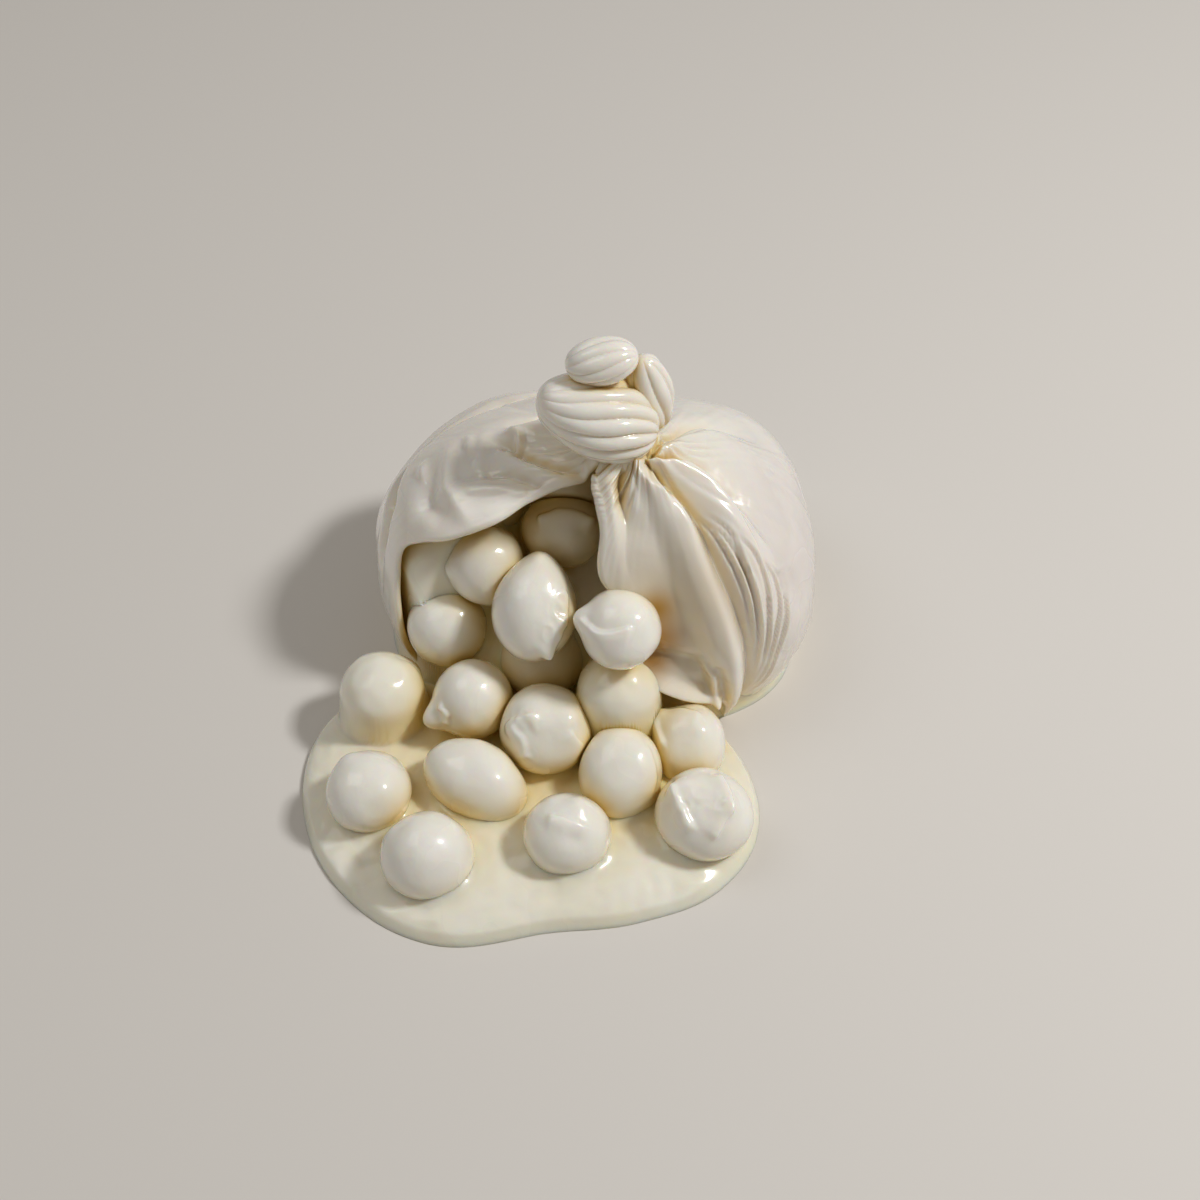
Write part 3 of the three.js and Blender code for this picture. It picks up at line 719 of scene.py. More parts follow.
    def made(self) -> bpy.types.Object:
        """The whole sheet as a closed solid.

        Returns:
            The sheet.
        """
        across = self.across()
        station = np.linspace(0, 1, self.rows // 1 + 1)
        outer, inner = self.faces(across, station)
        last = self.rim(outer[-1], inner[-1], outer[-2], np.ones_like(station))
        first = self.rim(outer[0], inner[0], outer[1], 1 - 0.75 * smoothstep(station, 0.84, 0.92))
        rings = np.concatenate([outer, last, inner[::-1], first[::-1]])
        rings[..., 2] = np.maximum(rings[..., 2], 0)
        draft = Draft()
        grid = draft.add(rings)
        draft.quads(np.vstack([grid, grid[:1]]))
        columns, steps = len(across), self.rim_steps
        facing = grid[columns + steps:2 * columns + steps][::-1]
        for row, flip in ((0, False), (-1, True)):
            caps = np.stack([grid[:columns, row], facing[:, row]])
            draft.quads(caps[::-1] if flip else caps)
            ends = (
                grid[columns - 1:columns + steps + 1, row],
                np.append(grid[2 * columns + steps - 1:, row], grid[0, row]),
            )
            draft.faces += [(end[::-1] if flip else end).tolist() for end in ends]
        return draft.made("wall")


@dataclass(frozen=True)
class Lobe:
    """A fat lobe of the knot. It lies along X before it is tilted, and its ribs run along it."""

    centre: Spot
    half: Spot
    tilt: float
    ribs: int
    # Depth of the grooves between the ribs at the left and the right end.
    depth: tuple[float, float]
    # How far the ribs wind round from one end to the other.
    twist: float = 0.0
    # How much fatter the right end is than the left one, as a share of the middle.
    taper: float = 0.0
    steps: tuple[int, int] = (90, 180)

    def made(self, name: str) -> bpy.types.Object:
        """The lobe as a closed solid.

        Args:
            name: The object's name.

        Returns:
            The solid.
        """
        along = np.linspace(0, math.pi, self.steps[0] + 1)[1:-1, None]
        around = np.linspace(0, 2 * math.pi, self.steps[1], endpoint=False)[None, :]
        share = (1 + np.cos(along)) / 2
        depth = self.depth[0] + (self.depth[1] - self.depth[0]) * share
        wound = around + math.radians(self.twist) * np.cos(along)
        wander = 0.22 * np.sin(2.3 * around + 1.1) + 0.12 * np.sin(5 * around + 2 * along)
        groove = (1 - np.abs(np.sin(self.ribs * wound / 2 + wander)) ** 0.6) * (self.ribs > 0)
        radius = np.sin(along) ** 0.92 * (1 + self.taper / 2 * np.cos(along))
        grid = np.stack(np.broadcast_arrays(
            self.half[0] * np.cos(along),
            (self.half[1] - depth * groove) * radius * np.cos(around),
            (self.half[2] - depth * groove) * radius * np.sin(around),
        ), axis=-1)
        grid = grid * (1 + 0.02 * LUMPS.at(grid + np.asarray(self.centre), 9)[..., None])
        poles = np.array([[self.half[0], 0.0, 0.0], [-self.half[0], 0.0, 0.0]])
        draft = Draft()
        numbers = draft.add(self.placed(grid))
        right, left = draft.add(self.placed(poles))
        draft.quads(np.hstack([numbers, numbers[:, :1]])[::-1])
        draft.fan(right, numbers[0])
        draft.fan(left, numbers[-1][::-1])
        return draft.made(name)

    def placed(self, points: Array) -> Array:
        """Tilts the lobe's own points and moves them to its place.

        Args:
            points: Points of the lobe that lies along X at the origin.

        Returns:
            The same points of the lobe in its place.
        """
        c, s = math.cos(math.radians(self.tilt)), math.sin(math.radians(self.tilt))
        turn = np.array([[c, 0, s], [0, 1, 0], [-s, 0, c]])
        return points @ turn.T + np.asarray(self.centre)


@dataclass(frozen=True)
class Neck:
    """The gathered neck between the sack and the knot."""

    base: Spot = (16, -2, 76)
    top: Spot = (9, 1, 103)
    radius: tuple[float, float] = (8.6, 9.4)
    steps: int = 96

    def made(self) -> bpy.types.Object:
        """The neck as a closed solid.

        Returns:
            The neck.
        """
        around = np.linspace(0, 2 * math.pi, self.steps, endpoint=False)
        shares = np.linspace(0, 1, 13)[:, None]
        base, top = np.asarray(self.base), np.asarray(self.top)
        radius = self.radius[0] + (self.radius[1] - self.radius[0]) * shares
        radius = radius - 0.7 * np.abs(np.sin(7 * around + 3 * shares)) ** 0.7
        ring = np.stack([radius * np.cos(around), radius * np.sin(around), 0 * radius], axis=-1)
        draft = Draft()
        grid = draft.add(ring + base + (top - base) * shares[..., None])
        low, high = draft.add(np.stack([base, top]))
        draft.quads(np.hstack([grid, grid[:, :1]]))
        draft.fan(low, grid[0][::-1])
        draft.fan(high, grid[-1])
        return draft.made("neck")


@dataclass(frozen=True)
class Bottom:
    """The sack's bottom, which runs on under the balls."""

    thick: float = 3.0
    share: float = 0.9
    inset: float = 1.5
    steps: int = 160

    def made(self, sack: Sack) -> bpy.types.Object:
        """The bottom as a closed disc with the sack's outline.

        Args:
            sack: The sack that it closes.

        Returns:
            The bottom.
        """
        bearing = np.linspace(0, 360, self.steps, endpoint=False)
        reach = self.share * smooth_round(sack.reach, bearing) - self.inset
        angle = np.radians(bearing)
        flat = np.stack([
            sack.body[0] + reach * np.cos(angle), sack.body[1] + reach * np.sin(angle),
        ], axis=-1)
        heights = np.array([0.0, self.thick])[:, None, None]
        rings = np.concatenate(np.broadcast_arrays(flat, heights), axis=-1)[..., :3]
        draft = Draft()
        grid = draft.add(rings)
        low, high = draft.add(np.array([[*sack.body, 0.0], [*sack.body, self.thick]]))
        draft.quads(np.hstack([grid, grid[:, :1]]))
        draft.fan(low, grid[0][::-1])
        draft.fan(high, grid[1])
        return draft.made("bottom")


@dataclass(frozen=True)
class Pouch:
    """The sack, its neck and its knot, wound like a turban."""

    sack: Sack = field(default_factory=Sack)
    wrap: Lobe = Lobe((4.2, 1, 102), (19.6, 13.6, 13), 24, 13, (0.5, 2.6), 34, 0.3, (120, 300))
    tail: Lobe = Lobe((20, 9, 104), (14.5, 7.6, 7.6), 80, 7, (1.2, 1.4), 20, 0, (70, 140))
    tuft: Lobe = Lobe((5.5, 5.5, 120), (11, 8, 7), -12, 9, (1.0, 0.7), 20, 0, (70, 140))

    def built(self) -> bpy.types.Object:
        """The whole pouch in one piece.

        Returns:
            The pouch.
        """
        pouch = Wall(self.sack).made()
        pouch.name = "pouch_skin"
        others = [
            Bottom().made(self.sack),
            Neck().made(),
            self.wrap.made("wrap"),
            self.tail.made("tail"),
            self.tuft.made("tuft"),
        ]
        work_in(pouch, others, Join.ADD)
        return shaded(pouch)


@dataclass(frozen=True)
class Mark:
    """A dent, bump or rough patch on a ball, at a place as the photo shows it."""

    at: tuple[float, float]
    spread: float
    height: float
    # How wide the small lumps of a rough patch are, or 0 where it is smooth.
    grain: float = 0.0

    def lift(self, direction: Array, number: int) -> Array:
        """How far the mark lifts the ball's skin.

        Args:
            direction: Directions from the ball's middle.
            number: The ball's number, which the rough patch depends on.

        Returns:
            The lift for each direction.
        """
        apart = np.degrees(np.arccos(np.clip(direction @ seen(*self.at), -1, 1)))
        lift = self.height * np.exp(-((apart / self.spread) ** 2))
        if self.grain:
            ridges = 1 - 2 * np.abs(LUMPS.at(direction * 13 + 31 * number, self.grain))
            lift = lift * ridges
        return lift


@dataclass(frozen=True)
class Crest:
    """A raised line on a ball, from one place to another, steep on its one side."""

    start: tuple[float, float]
    end: tuple[float, float]
    width: float
    height: float
    # How many times wider the gentle side is than the steep one.
    lean: float = 3.0
    bow: float = 0.0

    def lift(self, direction: Array, number: int) -> Array:
        """How far the crest lifts the ball's skin.

        Args:
            direction: Directions from the ball's middle.
            number: The ball's number, which its small breaks depend on.

        Returns:
            The lift for each direction.
        """
        a, b = seen(*self.start), seen(*self.end)
        across = unit(np.cross(a, b))
        ahead = unit(np.cross(across, a))
        length = math.acos(float(np.clip(a @ b, -1, 1)))
        along = np.arctan2(direction @ ahead, direction @ a) / length
        bend = self.bow * np.sin(np.clip(along, 0, 1) * math.pi)
        away = np.degrees(np.arcsin(np.clip(direction @ across, -1, 1))) - bend
        away = away + 1.4 * LUMPS.at(direction * 13 + 17 * number, 3.0)
        beyond = np.degrees(length) * np.maximum(np.maximum(-along, along - 1), 0)
        width = np.where(away > 0, self.width, self.width * self.lean)
        return self.height * np.exp(-((away / width) ** 2) - (beyond / (2 * self.width)) ** 2)


@dataclass(frozen=True)
class Ball:
    """A small ball: a stretched sphere with a pinched tip, flats where it leans, and marks."""

    at: Spot
    radius: float
    axis: Spot
    stretch: float
    tip: Spot
    tall: float
    marks: tuple[Mark | Crest, ...] = ()
    # Whether the cream runs over it in a film.
    coated: bool = False

    def loose_radius(self, direction: Array, number: int) -> Array:
        """The ball's plain radius along directions.

        Args:
            direction: Directions from the ball's middle.
            number: The ball's number, which its lumps depend on.

        Returns:
            The radius for each direction.
        """
        along = self.stretch ** (2 / 3) * self.radius
        across = self.radius / self.stretch ** (1 / 3)
        c = direction @ unit(self.axis)
        waves = np.sin(3 * direction[..., 0] + 2.4 * number)
        waves = waves + np.cos(3.6 * direction[..., 2] - 1.7 * number)
        plain = (1 + 0.018 * waves) / np.sqrt((c / along) ** 2 + (1 - c * c) / across**2)
        apart = np.degrees(np.arccos(np.clip(direction @ unit(self.tip), -1, 1)))
        return plain + self.tall * np.exp(-((apart / 17) ** 2))


BALLS = (
    Ball((-7, -1, 53), 12.8, (1, 0, 0.3), 1.06, (0.8, -0.2, 0.6), 1.2, (
        Crest((-0.5, 0.28), (0.62, 0.2), 4, 1.1, 4, 9), Mark((0.62, 0.16), 9, 0.9),
        Mark((-0.52, 0.25), 8, 0.6), Mark((0.5, -0.05), 16, -0.5),
    )),
    Ball((-6, 14, 60), 14.0, (1, 0, 0), 1.05, (-0.6, 0, 0.5), 1.0),
    Ball((-31, -12, 48), 12.4, (0, 0.6, 0.8), 1.06, (-0.9, -0.2, 0.1), 1.4, (
        Mark((0.15, 0.85), 12, 0.9), Mark((0.35, 0.1), 24, -0.5), Mark((0.1, 0.2), 20, 0.4),
    )),
    Ball((-15.5, -29, 47), 14.4, (0.1, 0.8, 0.6), 1.22, (0.1, 0.7, 0.7), 1.6, (
        Mark((0.55, -0.05), 24, 0.45, 4.6), Mark((0.45, -0.5), 18, 0.5, 4.0),
        Crest((0.74, 0.3), (0.72, -0.3), 4, 0.9, 4), Crest((0.68, -0.3), (0.3, -0.82), 3.5, 1.2, 4),
        Mark((0.28, -0.84), 9, 2.0), Mark((0.35, 0.15), 24, -0.9), Mark((0.1, 0.93), 9, 0.9),
    )),
    Ball((11.5, -42.2, 52.7), 12.4, (0, 0.7, 0.7), 1.04, (-0.95, 0.1, 0.3), 2.8, (
        Crest((-0.86, 0.22), (0.12, 0.02), 4, 1.2, 5, -14), Mark((0.5, 0.35), 18, 0.5),
        Mark((-0.2, -0.1), 24, -0.6),
    )),
    Ball((-44.5, -21, 28), 13.0, (0, 0.7, 0.7), 1.03, (-0.6, -0.2, -0.7), 0.8),
    Ball((-35.5, -44, 20), 12.8, (1, 0.1, 0), 1.05, (-0.92, -0.5, -0.1), 5.0, (
        Crest((-0.72, -0.2), (-0.62, -0.5), 3.5, 1.0, 2, 6), Mark((-0.5, -0.5), 12, -0.6),
    )),
    Ball((-12, -55, 19), 14.5, (0, 0.7, 0.7), 1.03, (0.7, -0.7, 0), 1.0, (
        Crest((-0.78, 0.12), (-0.3, 0.34), 4, 0.9, 3),
        Crest((-0.66, 0.02), (-0.42, -0.5), 3.5, 1.1, 4, 6),
        Mark((-0.45, 0.15), 20, 0.5, 4.2), Mark((0.05, -0.2), 30, -1.3), Mark((0.55, 0.25), 15, 0.9),
        Crest((0.6, -0.1), (0.82, -0.5), 4, 0.9, 3), Mark((0.2, 0.5), 18, -0.7),
    )),
    Ball((11, -46, 25.4), 13.0, (1, 0, 0), 1.02, (0.4, 0.2, 0.9), 0.6, (), True),
    Ball((11.4, -69, 14.5), 13.9, (0.2, 0.7, 0.7), 1.1, (0.8, -0.5, -0.3), 1.2, (
        Mark((-0.2, 0.3), 30, -0.8), Crest((0.6, 0.5), (0.75, -0.3), 7, 0.6, 3),
    )),
    Ball((33, -57, 13.5), 12.2, (0.15, 0.8, 0.6), 1.14, (-0.8, 0.5, 0.5), 3.4, (
        Crest((-0.75, 0.7), (-0.72, 0.1), 4, 1.2, 4), Crest((-0.75, 0.72), (0.15, 0.8), 5, 0.8, 4),
        Mark((0.35, 0.4), 16, 0.5), Mark((-0.2, 0.2), 24, -0.6),
    )),
    Ball((37, -84, 14), 14.6, (0.9, -0.3, 0), 1.08, (-0.5, 0.1, 0.85), 2.0, (
        Crest((-0.6, 0.55), (-0.35, -0.1), 4, 1.8, 4), Crest((0.35, 0.8), (0.5, 0.2), 4, 1.6, 3),
        Crest((0.5, 0.25), (0.2, -0.3), 4, 1.3, 3), Mark((0.0, 0.3), 30, -1.2),
        Mark((-0.3, 0.4), 18, 0.5, 4.4), Mark((0.45, 0.5), 16, 0.5, 4.0),
    )),
    Ball((-5, -91, 13), 13.0, (1, 0.1, 0), 1.05, (0.3, 0.3, 0.9), 1.4, (
        Crest((-0.3, 0.5), (0.35, 0.3), 5, 1.2, 3), Mark((0.2, 0.05), 16, -0.8),
    )),
    Ball((-34, -71, 13.4), 13.8, (0.9, -0.4, -0.2), 1.42, (0.1, 0.5, 0.8), 0.6, (
        Mark((-0.1, 0.25), 20, -0.5), Mark((0.6, 0.1), 14, 0.4),
    )),
    Ball((-47.5, -98, 13), 13.6, (1, 0.2, 0), 1.1, (-0.8, 0.2, 0.5), 0.8),
    Ball((-67, -75, 13), 13.0, (0.3, 1, 0), 1.05, (-0.5, 0.5, 0.7), 1.0, (
        Mark((0.5, 0.1), 16, 0.6), Mark((0.3, -0.4), 18, -0.5),
    )),
    Ball((-65, -39, 15), 13.4, (0.6, 0.6, 0.3), 1.06, (0.7, 0.6, 0.3), 0.8, (), True),
    Ball((-53, 3, 31), 12.4, (0, 1, 0), 1.04, (0.2, -0.3, 0.9), 0.8),
    Ball((-14, -27, 19), 13.4, (1, 0, 0), 1.03, (0.3, -0.4, 0.8), 0.8),
    Ball((-31, 14, 51), 12.8, (1, 0, 0), 1.03, (0, -0.5, 0.8), 0.8),
)


@dataclass(frozen=True)
class BallMaker:
    """What the balls share, and how they are made."""

    gap: float = 0.35
    # How far a flat may stand off from the plain shape, and how far apart balls may touch.
    stand_off: float = 3.0
    far_apart: float = 45.0
    softness: float = 0.5
    # Height and width of the skin's soft lumps.
    lumps: Rows = ((0.2, 9.0), (0.08, 4.0))
    detail: int = 6

    def sphere(self, detail: int) -> tuple[Array, list[list[int]]]:
        """Directions evenly over a ball, and the triangles between them.

        Args:
            detail: How often the first twenty triangles are divided.

        Returns:
            The directions, and each triangle as three of their numbers.
        """
        shape = bmesh.new()
        bmesh.ops.create_icosphere(shape, subdivisions=detail, radius=1.0)
        points = np.array([vert.co[:] for vert in shape.verts])
        faces = [[vert.index for vert in face.verts] for face in shape.faces]
        shape.free()
        return unit(points), faces

    def flats(self, number: int) -> list[tuple[Array, float]]:
        """Where a ball leans on the floor and on its neighbours.

        Args:
            number: The ball's number.

        Returns:
            Each flat as the way out to it and its distance from the ball's middle.
        """
        ball = BALLS[number]
        flats = [(np.array([0.0, 0.0, -1.0]), ball.at[2])]
        for i, other in enumerate(BALLS):
            apart = np.subtract(other.at, ball.at)
            length = float(np.linalg.norm(apart))
            if i == number or length > self.far_apart:
                continue
            way = apart / length
            mine = float(ball.loose_radius(way, number))
            theirs = float(other.loose_radius(-way, i))
            shared = length * mine / (mine + theirs) - self.gap / 2
            flats.append((way, min(shared, mine + self.stand_off)))
        return flats

    def surface(self, number: int, direction: Array, grown: float = 0.0) -> Array:
        """A ball's skin.

        Args:
            number: The ball's number.
            direction: Directions from its middle.
            grown: How far the skin is moved out.

        Returns:
            A point for each direction.
        """
        ball = BALLS[number]
        radius = ball.loose_radius(direction, number)
        spot = direction * 13 + 57 * number
        radius = radius + sum(height * LUMPS.at(spot, size) for height, size in self.lumps)
        for mark in ball.marks:
            radius = radius + mark.lift(direction, number)
        for way, distance in self.flats(number):
            facing = direction @ way
            flat = distance / np.maximum(facing, 0.05)
            radius = np.where(facing > 0.05, -soft_most(-radius, -flat, self.softness), radius)
        return np.asarray(ball.at) + direction * (radius + grown)[..., None]

    def made(self, number: int, name: str, detail: int, grown: float = 0.0) -> bpy.types.Object:
        """A ball as a closed solid.

        Args:
            number: The ball's number.
            name: The object's name.
            detail: How finely its skin is divided.
            grown: How far the skin is moved out.

        Returns:
            The ball.
        """
        direction, faces = self.sphere(detail)
        draft = Draft()
        draft.add(self.surface(number, direction, grown))
        draft.faces = faces
        return draft.made(name)


@dataclass(frozen=True)
class Cream:
    """The cream: a low pool under the balls in front, and the filling that banks up inside."""

    centre: tuple[float, float] = (-8, -30)
    pool_centre: tuple[float, float] = (-12, -62)
    pool_depth: float = 8.0
    pool_rim: float = 0.6
    pool_reach: Rows = (
        (0, 66), (30, 54), (60, 42), (90, 42), (120, 48), (150, 68), (165, 77), (190, 78),
        (215, 75), (240, 69), (270, 56), (300, 60), (320, 67), (340, 70),
    )
    # How far the filling reaches towards the sack's side, by bearing: closer under the thin flap.
    fill_share: Rows = ((0, 0.935), (172, 0.935), (192, 0.965), (215, 0.965), (235, 0.935))
    # The filling's height from front to back where it shows in the mouth.
    bank: Rows = (
        (-60, 6), (-42, 12), (-25, 24), (-8, 38), (10, 52), (26, 68), (60, 82),
    )
    risen: Rows = (
        (0, 1), (60, 1), (130, 1), (194, 1), (204, 0.8), (212, 0.4), (223, 0), (298, 0), (318, 1),
    )
    rise: tuple[float, float] = (0.3, 0.6)
    roof_drop: float = 6.0
    roof_stations: tuple[float, float] = (0.12, 0.98)
    # How high the cream climbs a ball's side, how far out that reaches, and how thick a film is.
    climb: float = 1.7
    climb_reach: float = 2.0
    film: float = 0.9
    # Where the film starts to fall, as a share of the ball's radius, how far out it goes on
    # falling and how deep.
    film_edge: float = 0.98
    film_fall: float = 5.0
    film_drop: float = 30.0
    # Height and width of the cream's own soft lumps.
    lumps: Rows = ((0.6, 13.0), (0.35, 5.0))
    # How far in from its margin the cream rounds over, and how thin it gets there.
    margin: float = 2.2
    margin_height: float = 0.3
    spokes: int = 520
    rings: int = 150

    def pool_share(self, x: Array, y: Array) -> Array:
        """Share of the way from the pool's middle to its rim, at places."""
        dx, dy = x - self.pool_centre[0], y - self.pool_centre[1]
        return np.hypot(dx, dy) / smooth_round(self.pool_reach, np.degrees(np.arctan2(dy, dx)))

    def fill_place(self, x: Array, y: Array, sack: Sack) -> tuple[Array, Array]:
        """Where places lie in the filling.

        Args:
            x: The places' x.
            y: The places' y.
            sack: The sack that holds the filling.

        Returns:
            The share of the way out to the filling's side, and the bearing.
        """
        dx, dy = x - sack.body[0], y - sack.body[1]
        bearing = np.degrees(np.arctan2(dy, dx))
        reach = smooth_round(self.fill_share, bearing) * smooth_round(sack.reach, bearing)
        return np.hypot(dx, dy) / reach, bearing

    def roof(self, x: Array, y: Array, sack: Sack) -> Array:
        """The sack's height over places.

        Args:
            x: The places' x.
            y: The places' y.
            sack: The sack that holds the filling.

        Returns:
            The height at each place.
        """
        top = np.full_like(x, self.roof_stations[0])
        found = np.zeros(x.shape, dtype=bool)
        before = np.zeros_like(x)
        step = 0.01
        for station in np.arange(*self.roof_stations, step):
            ax, ay = sack.axis(station)
            bearing = np.degrees(np.arctan2(y - ay, x - ax))
            beyond = np.hypot(x - ax, y - ay) - sack.radius(bearing, station)
            passed = before / np.maximum(before - beyond, 1e-6)
            under = ~found & (beyond <= 0)
            top = np.where(under, station - step * (1 - passed), top)
            top = np.where(found | under, top, station)
            found |= under
            before = beyond
        return smooth_through(sack.profile, top, 2)

    def height(self, x: Array, y: Array, sack: Sack) -> Array:
        """How high the cream stands at places, before it climbs the balls.

        Args:
            x: The places' x.
            y: The places' y.
            sack: The sack that holds the filling.

        Returns:
            The height at each place.
        """
        share = self.pool_share(x, y)
        pool = self.pool_depth * np.sqrt(np.maximum(1 - share**5, 0)) + self.pool_rim
        pool = np.where(share < 1, pool, self.pool_rim)
        inside, bearing = self.fill_place(x, y, sack)
        weight = np.clip(smooth_round(self.risen, bearing), 0, 1) * smoothstep(inside, *self.rise)
        bank = smooth_through(self.bank, y)
        roof = self.roof(x, y, sack) - self.roof_drop
        filling = -soft_most(-(bank * (1 - weight) + roof * weight), -roof, 4.0)
        filling = np.where(inside < 1, filling, 0) * smoothstep(-inside, -1.0, -0.93)
        return soft_most(pool, filling, 0.8)

    def climbed(self, x: Array, y: Array, height: Array) -> Array:
        """The cream's height with its climb up the balls' sides and its film over some of them.

        Args:
            x: The places' x.
            y: The places' y.
            height: How high the cream stands there without the balls.

        Returns:
            The height at each place.
        """
        rise = np.zeros_like(height)
        for ball in BALLS:
            apart = np.hypot(x - ball.at[0], y - ball.at[1])
            level = np.clip(height - ball.at[2], -ball.radius, ball.radius)
            contact = np.sqrt(np.maximum(ball.radius**2 - level**2, 0))
            near = np.exp(-np.maximum(apart - contact, 0) / self.climb_reach)
            rise = np.maximum(rise, self.climb * near * (level < 0.8 * ball.radius))
        height = height + rise
        for ball in BALLS:
            if ball.coated:
                apart = np.hypot(x - ball.at[0], y - ball.at[1])
                cap = np.sqrt(np.maximum((ball.radius + self.film) ** 2 - apart**2, 0))
                edge = self.film_edge * ball.radius
                fall = self.film_drop * smoothstep(apart, edge, edge + self.film_fall)
                cover = ball.at[2] + cap - fall
                height = soft_most(height, cover, 1.6)
        return height

    def outline(self, bearing: Array, sack: Sack) -> Array:
        """How far the cream reaches from its middle.

        Args:
            bearing: Bearings round the middle.
            sack: The sack that holds the filling.

        Returns:
            The reach at each bearing.
        """
        reach = np.zeros_like(bearing)
        for trial in np.arange(20, 120, 0.25):
            x = self.centre[0] + trial * np.cos(np.radians(bearing))
            y = self.centre[1] + trial * np.sin(np.radians(bearing))
            inside = (self.pool_share(x, y) < 1) | (self.fill_place(x, y, sack)[0] < 1)
            reach = np.where(inside, trial, reach)
        window = np.hanning(15)
        wrapped = np.concatenate([reach[-7:], reach, reach[:7]])
        return np.convolve(wrapped, window / window.sum(), mode="valid")

    def built(self, sack: Sack, balls: BallMaker) -> bpy.types.Object:
        """The cream in one piece, with room for the balls.

        Args:
            sack: The sack that holds the filling.
            balls: The maker of the balls that are cut out.

        Returns:
            The cream.
        """
        coarse = 1
        bearing = np.linspace(0, 360, self.spokes // coarse, endpoint=False)
        reach = self.outline(bearing, sack)
        share = np.linspace(0, 1, self.rings // coarse + 1)[1:, None] ** 0.72
        x = self.centre[0] + share * reach * np.cos(np.radians(bearing))
        y = self.centre[1] + share * reach * np.sin(np.radians(bearing))
        level = self.climbed(x, y, self.height(x, y, sack))
        place = np.stack([x, y, level], axis=-1)
        level = level + sum(height * LUMPS.at(place, size) for height, size in self.lumps)
        edge = np.sqrt(np.clip((1 - share) * reach / self.margin, 0, 1))
        level = np.maximum(level * (0.15 + 0.85 * edge), self.margin_height)
        draft = Draft()
        top = draft.add(np.stack([x, y, level], axis=-1))
        low = draft.add(np.stack([x[-1], y[-1], 0 * x[-1]], axis=-1))
        middle = np.array([*self.centre, float(level[0].mean())])
        high_point, low_point = draft.add(np.stack([middle, middle * (1, 1, 0)]))
        draft.quads(np.hstack([top, top[:, :1]])[::-1])
        draft.quads(np.stack([np.append(low, low[0]), np.append(top[-1], top[-1, 0])]))
        draft.fan(high_point, top[0])
        draft.fan(low_point, low[::-1])
        cream = draft.made("cream_pool")
        detail = 5
        cut = [
            balls.made(i, f"room_{i}", detail, -0.4)
            for i, ball in enumerate(BALLS) if not ball.coated
        ]
        work_in(cream, cut, Join.CUT)
        return shaded(cream)


class Wiring:
    """Sets nodes in a tree and joins them up."""

    def __init__(self, tree: bpy.types.NodeTree) -> None:
        """Starts on a tree.

        Args:
            tree: The node tree that is wired.
        """
        self.tree = tree

    def node(self, kind: str, values: dict | None = None, **settings: object) -> bpy.types.Node:
        """Adds a node.

        Args:
            kind: The node's type.
            values: Values or outgoing sockets for its inputs, by name or number.
            settings: The node's own settings.

        Returns:
            The node.
        """
        node = self.tree.nodes.new(kind)
        for key, value in settings.items():
            setattr(node, key, value)
        for key, value in (values or {}).items():
            if isinstance(value, bpy.types.NodeSocket):
                self.tree.links.new(value, node.inputs[key])
            else:
                node.inputs[key].default_value = value
        return node

    def maths(self, operation: str, *values: object) -> bpy.types.NodeSocket:
        """Adds a sum of one or more values and gives its result."""
        node = self.node("ShaderNodeMath", dict(enumerate(values)), operation=operation)
        return node.outputs[0]

    def mixed(self, factor: object, a: object, b: object) -> bpy.types.NodeSocket:
        """Adds a mix of two colours and gives its result."""
        values = {0: factor, 6: a, 7: b}
        return self.node("ShaderNodeMix", values, data_type="RGBA").outputs[2]

    def noise(self, place: object, scale: float, detail: float) -> bpy.types.NodeSocket:
        """Adds noise at a place and gives its value."""
        values = {"Vector": place, "Scale": scale, "Detail": detail}
        return self.node("ShaderNodeTexNoise", values).outputs["Fac"]


class Effect:
    """An effect that several finishes share, as a node group."""

    # The kind of socket for a value of each length.
    SOCKETS = {1: "NodeSocketFloat", 3: "NodeSocketVector", 4: "NodeSocketColor"}

    def __init__(self, name: str, inputs: dict[str, object], outputs: dict[str, str]) -> None:
        """Starts the group.

        Args:
            name: The group's name.
            inputs: Each input's name with its usual value.
            outputs: Each output's name with its kind of socket.
        """
        self.tree = bpy.data.node_groups.new(name, "ShaderNodeTree")
        for key, value in inputs.items():
            size = len(value) if isinstance(value, tuple) else 1
            kind = self.SOCKETS[size]
            socket = self.tree.interface.new_socket(key, in_out="INPUT", socket_type=kind)
            socket.default_value = value
        for key, kind in outputs.items():
            self.tree.interface.new_socket(key, in_out="OUTPUT", socket_type=kind)
        self.wiring = Wiring(self.tree)
        self.given = self.wiring.node("NodeGroupInput").outputs
        self.result = self.wiring.node("NodeGroupOutput").inputs

    def put(self, **results: bpy.types.NodeSocket) -> "Effect":
        """Joins results to the outputs of the same names.

        Args:
            results: The socket for each output.

        Returns:
            The effect.
        """
        for key, socket in results.items():
            self.tree.links.new(socket, self.result[key.replace("_", " ")])
        return self


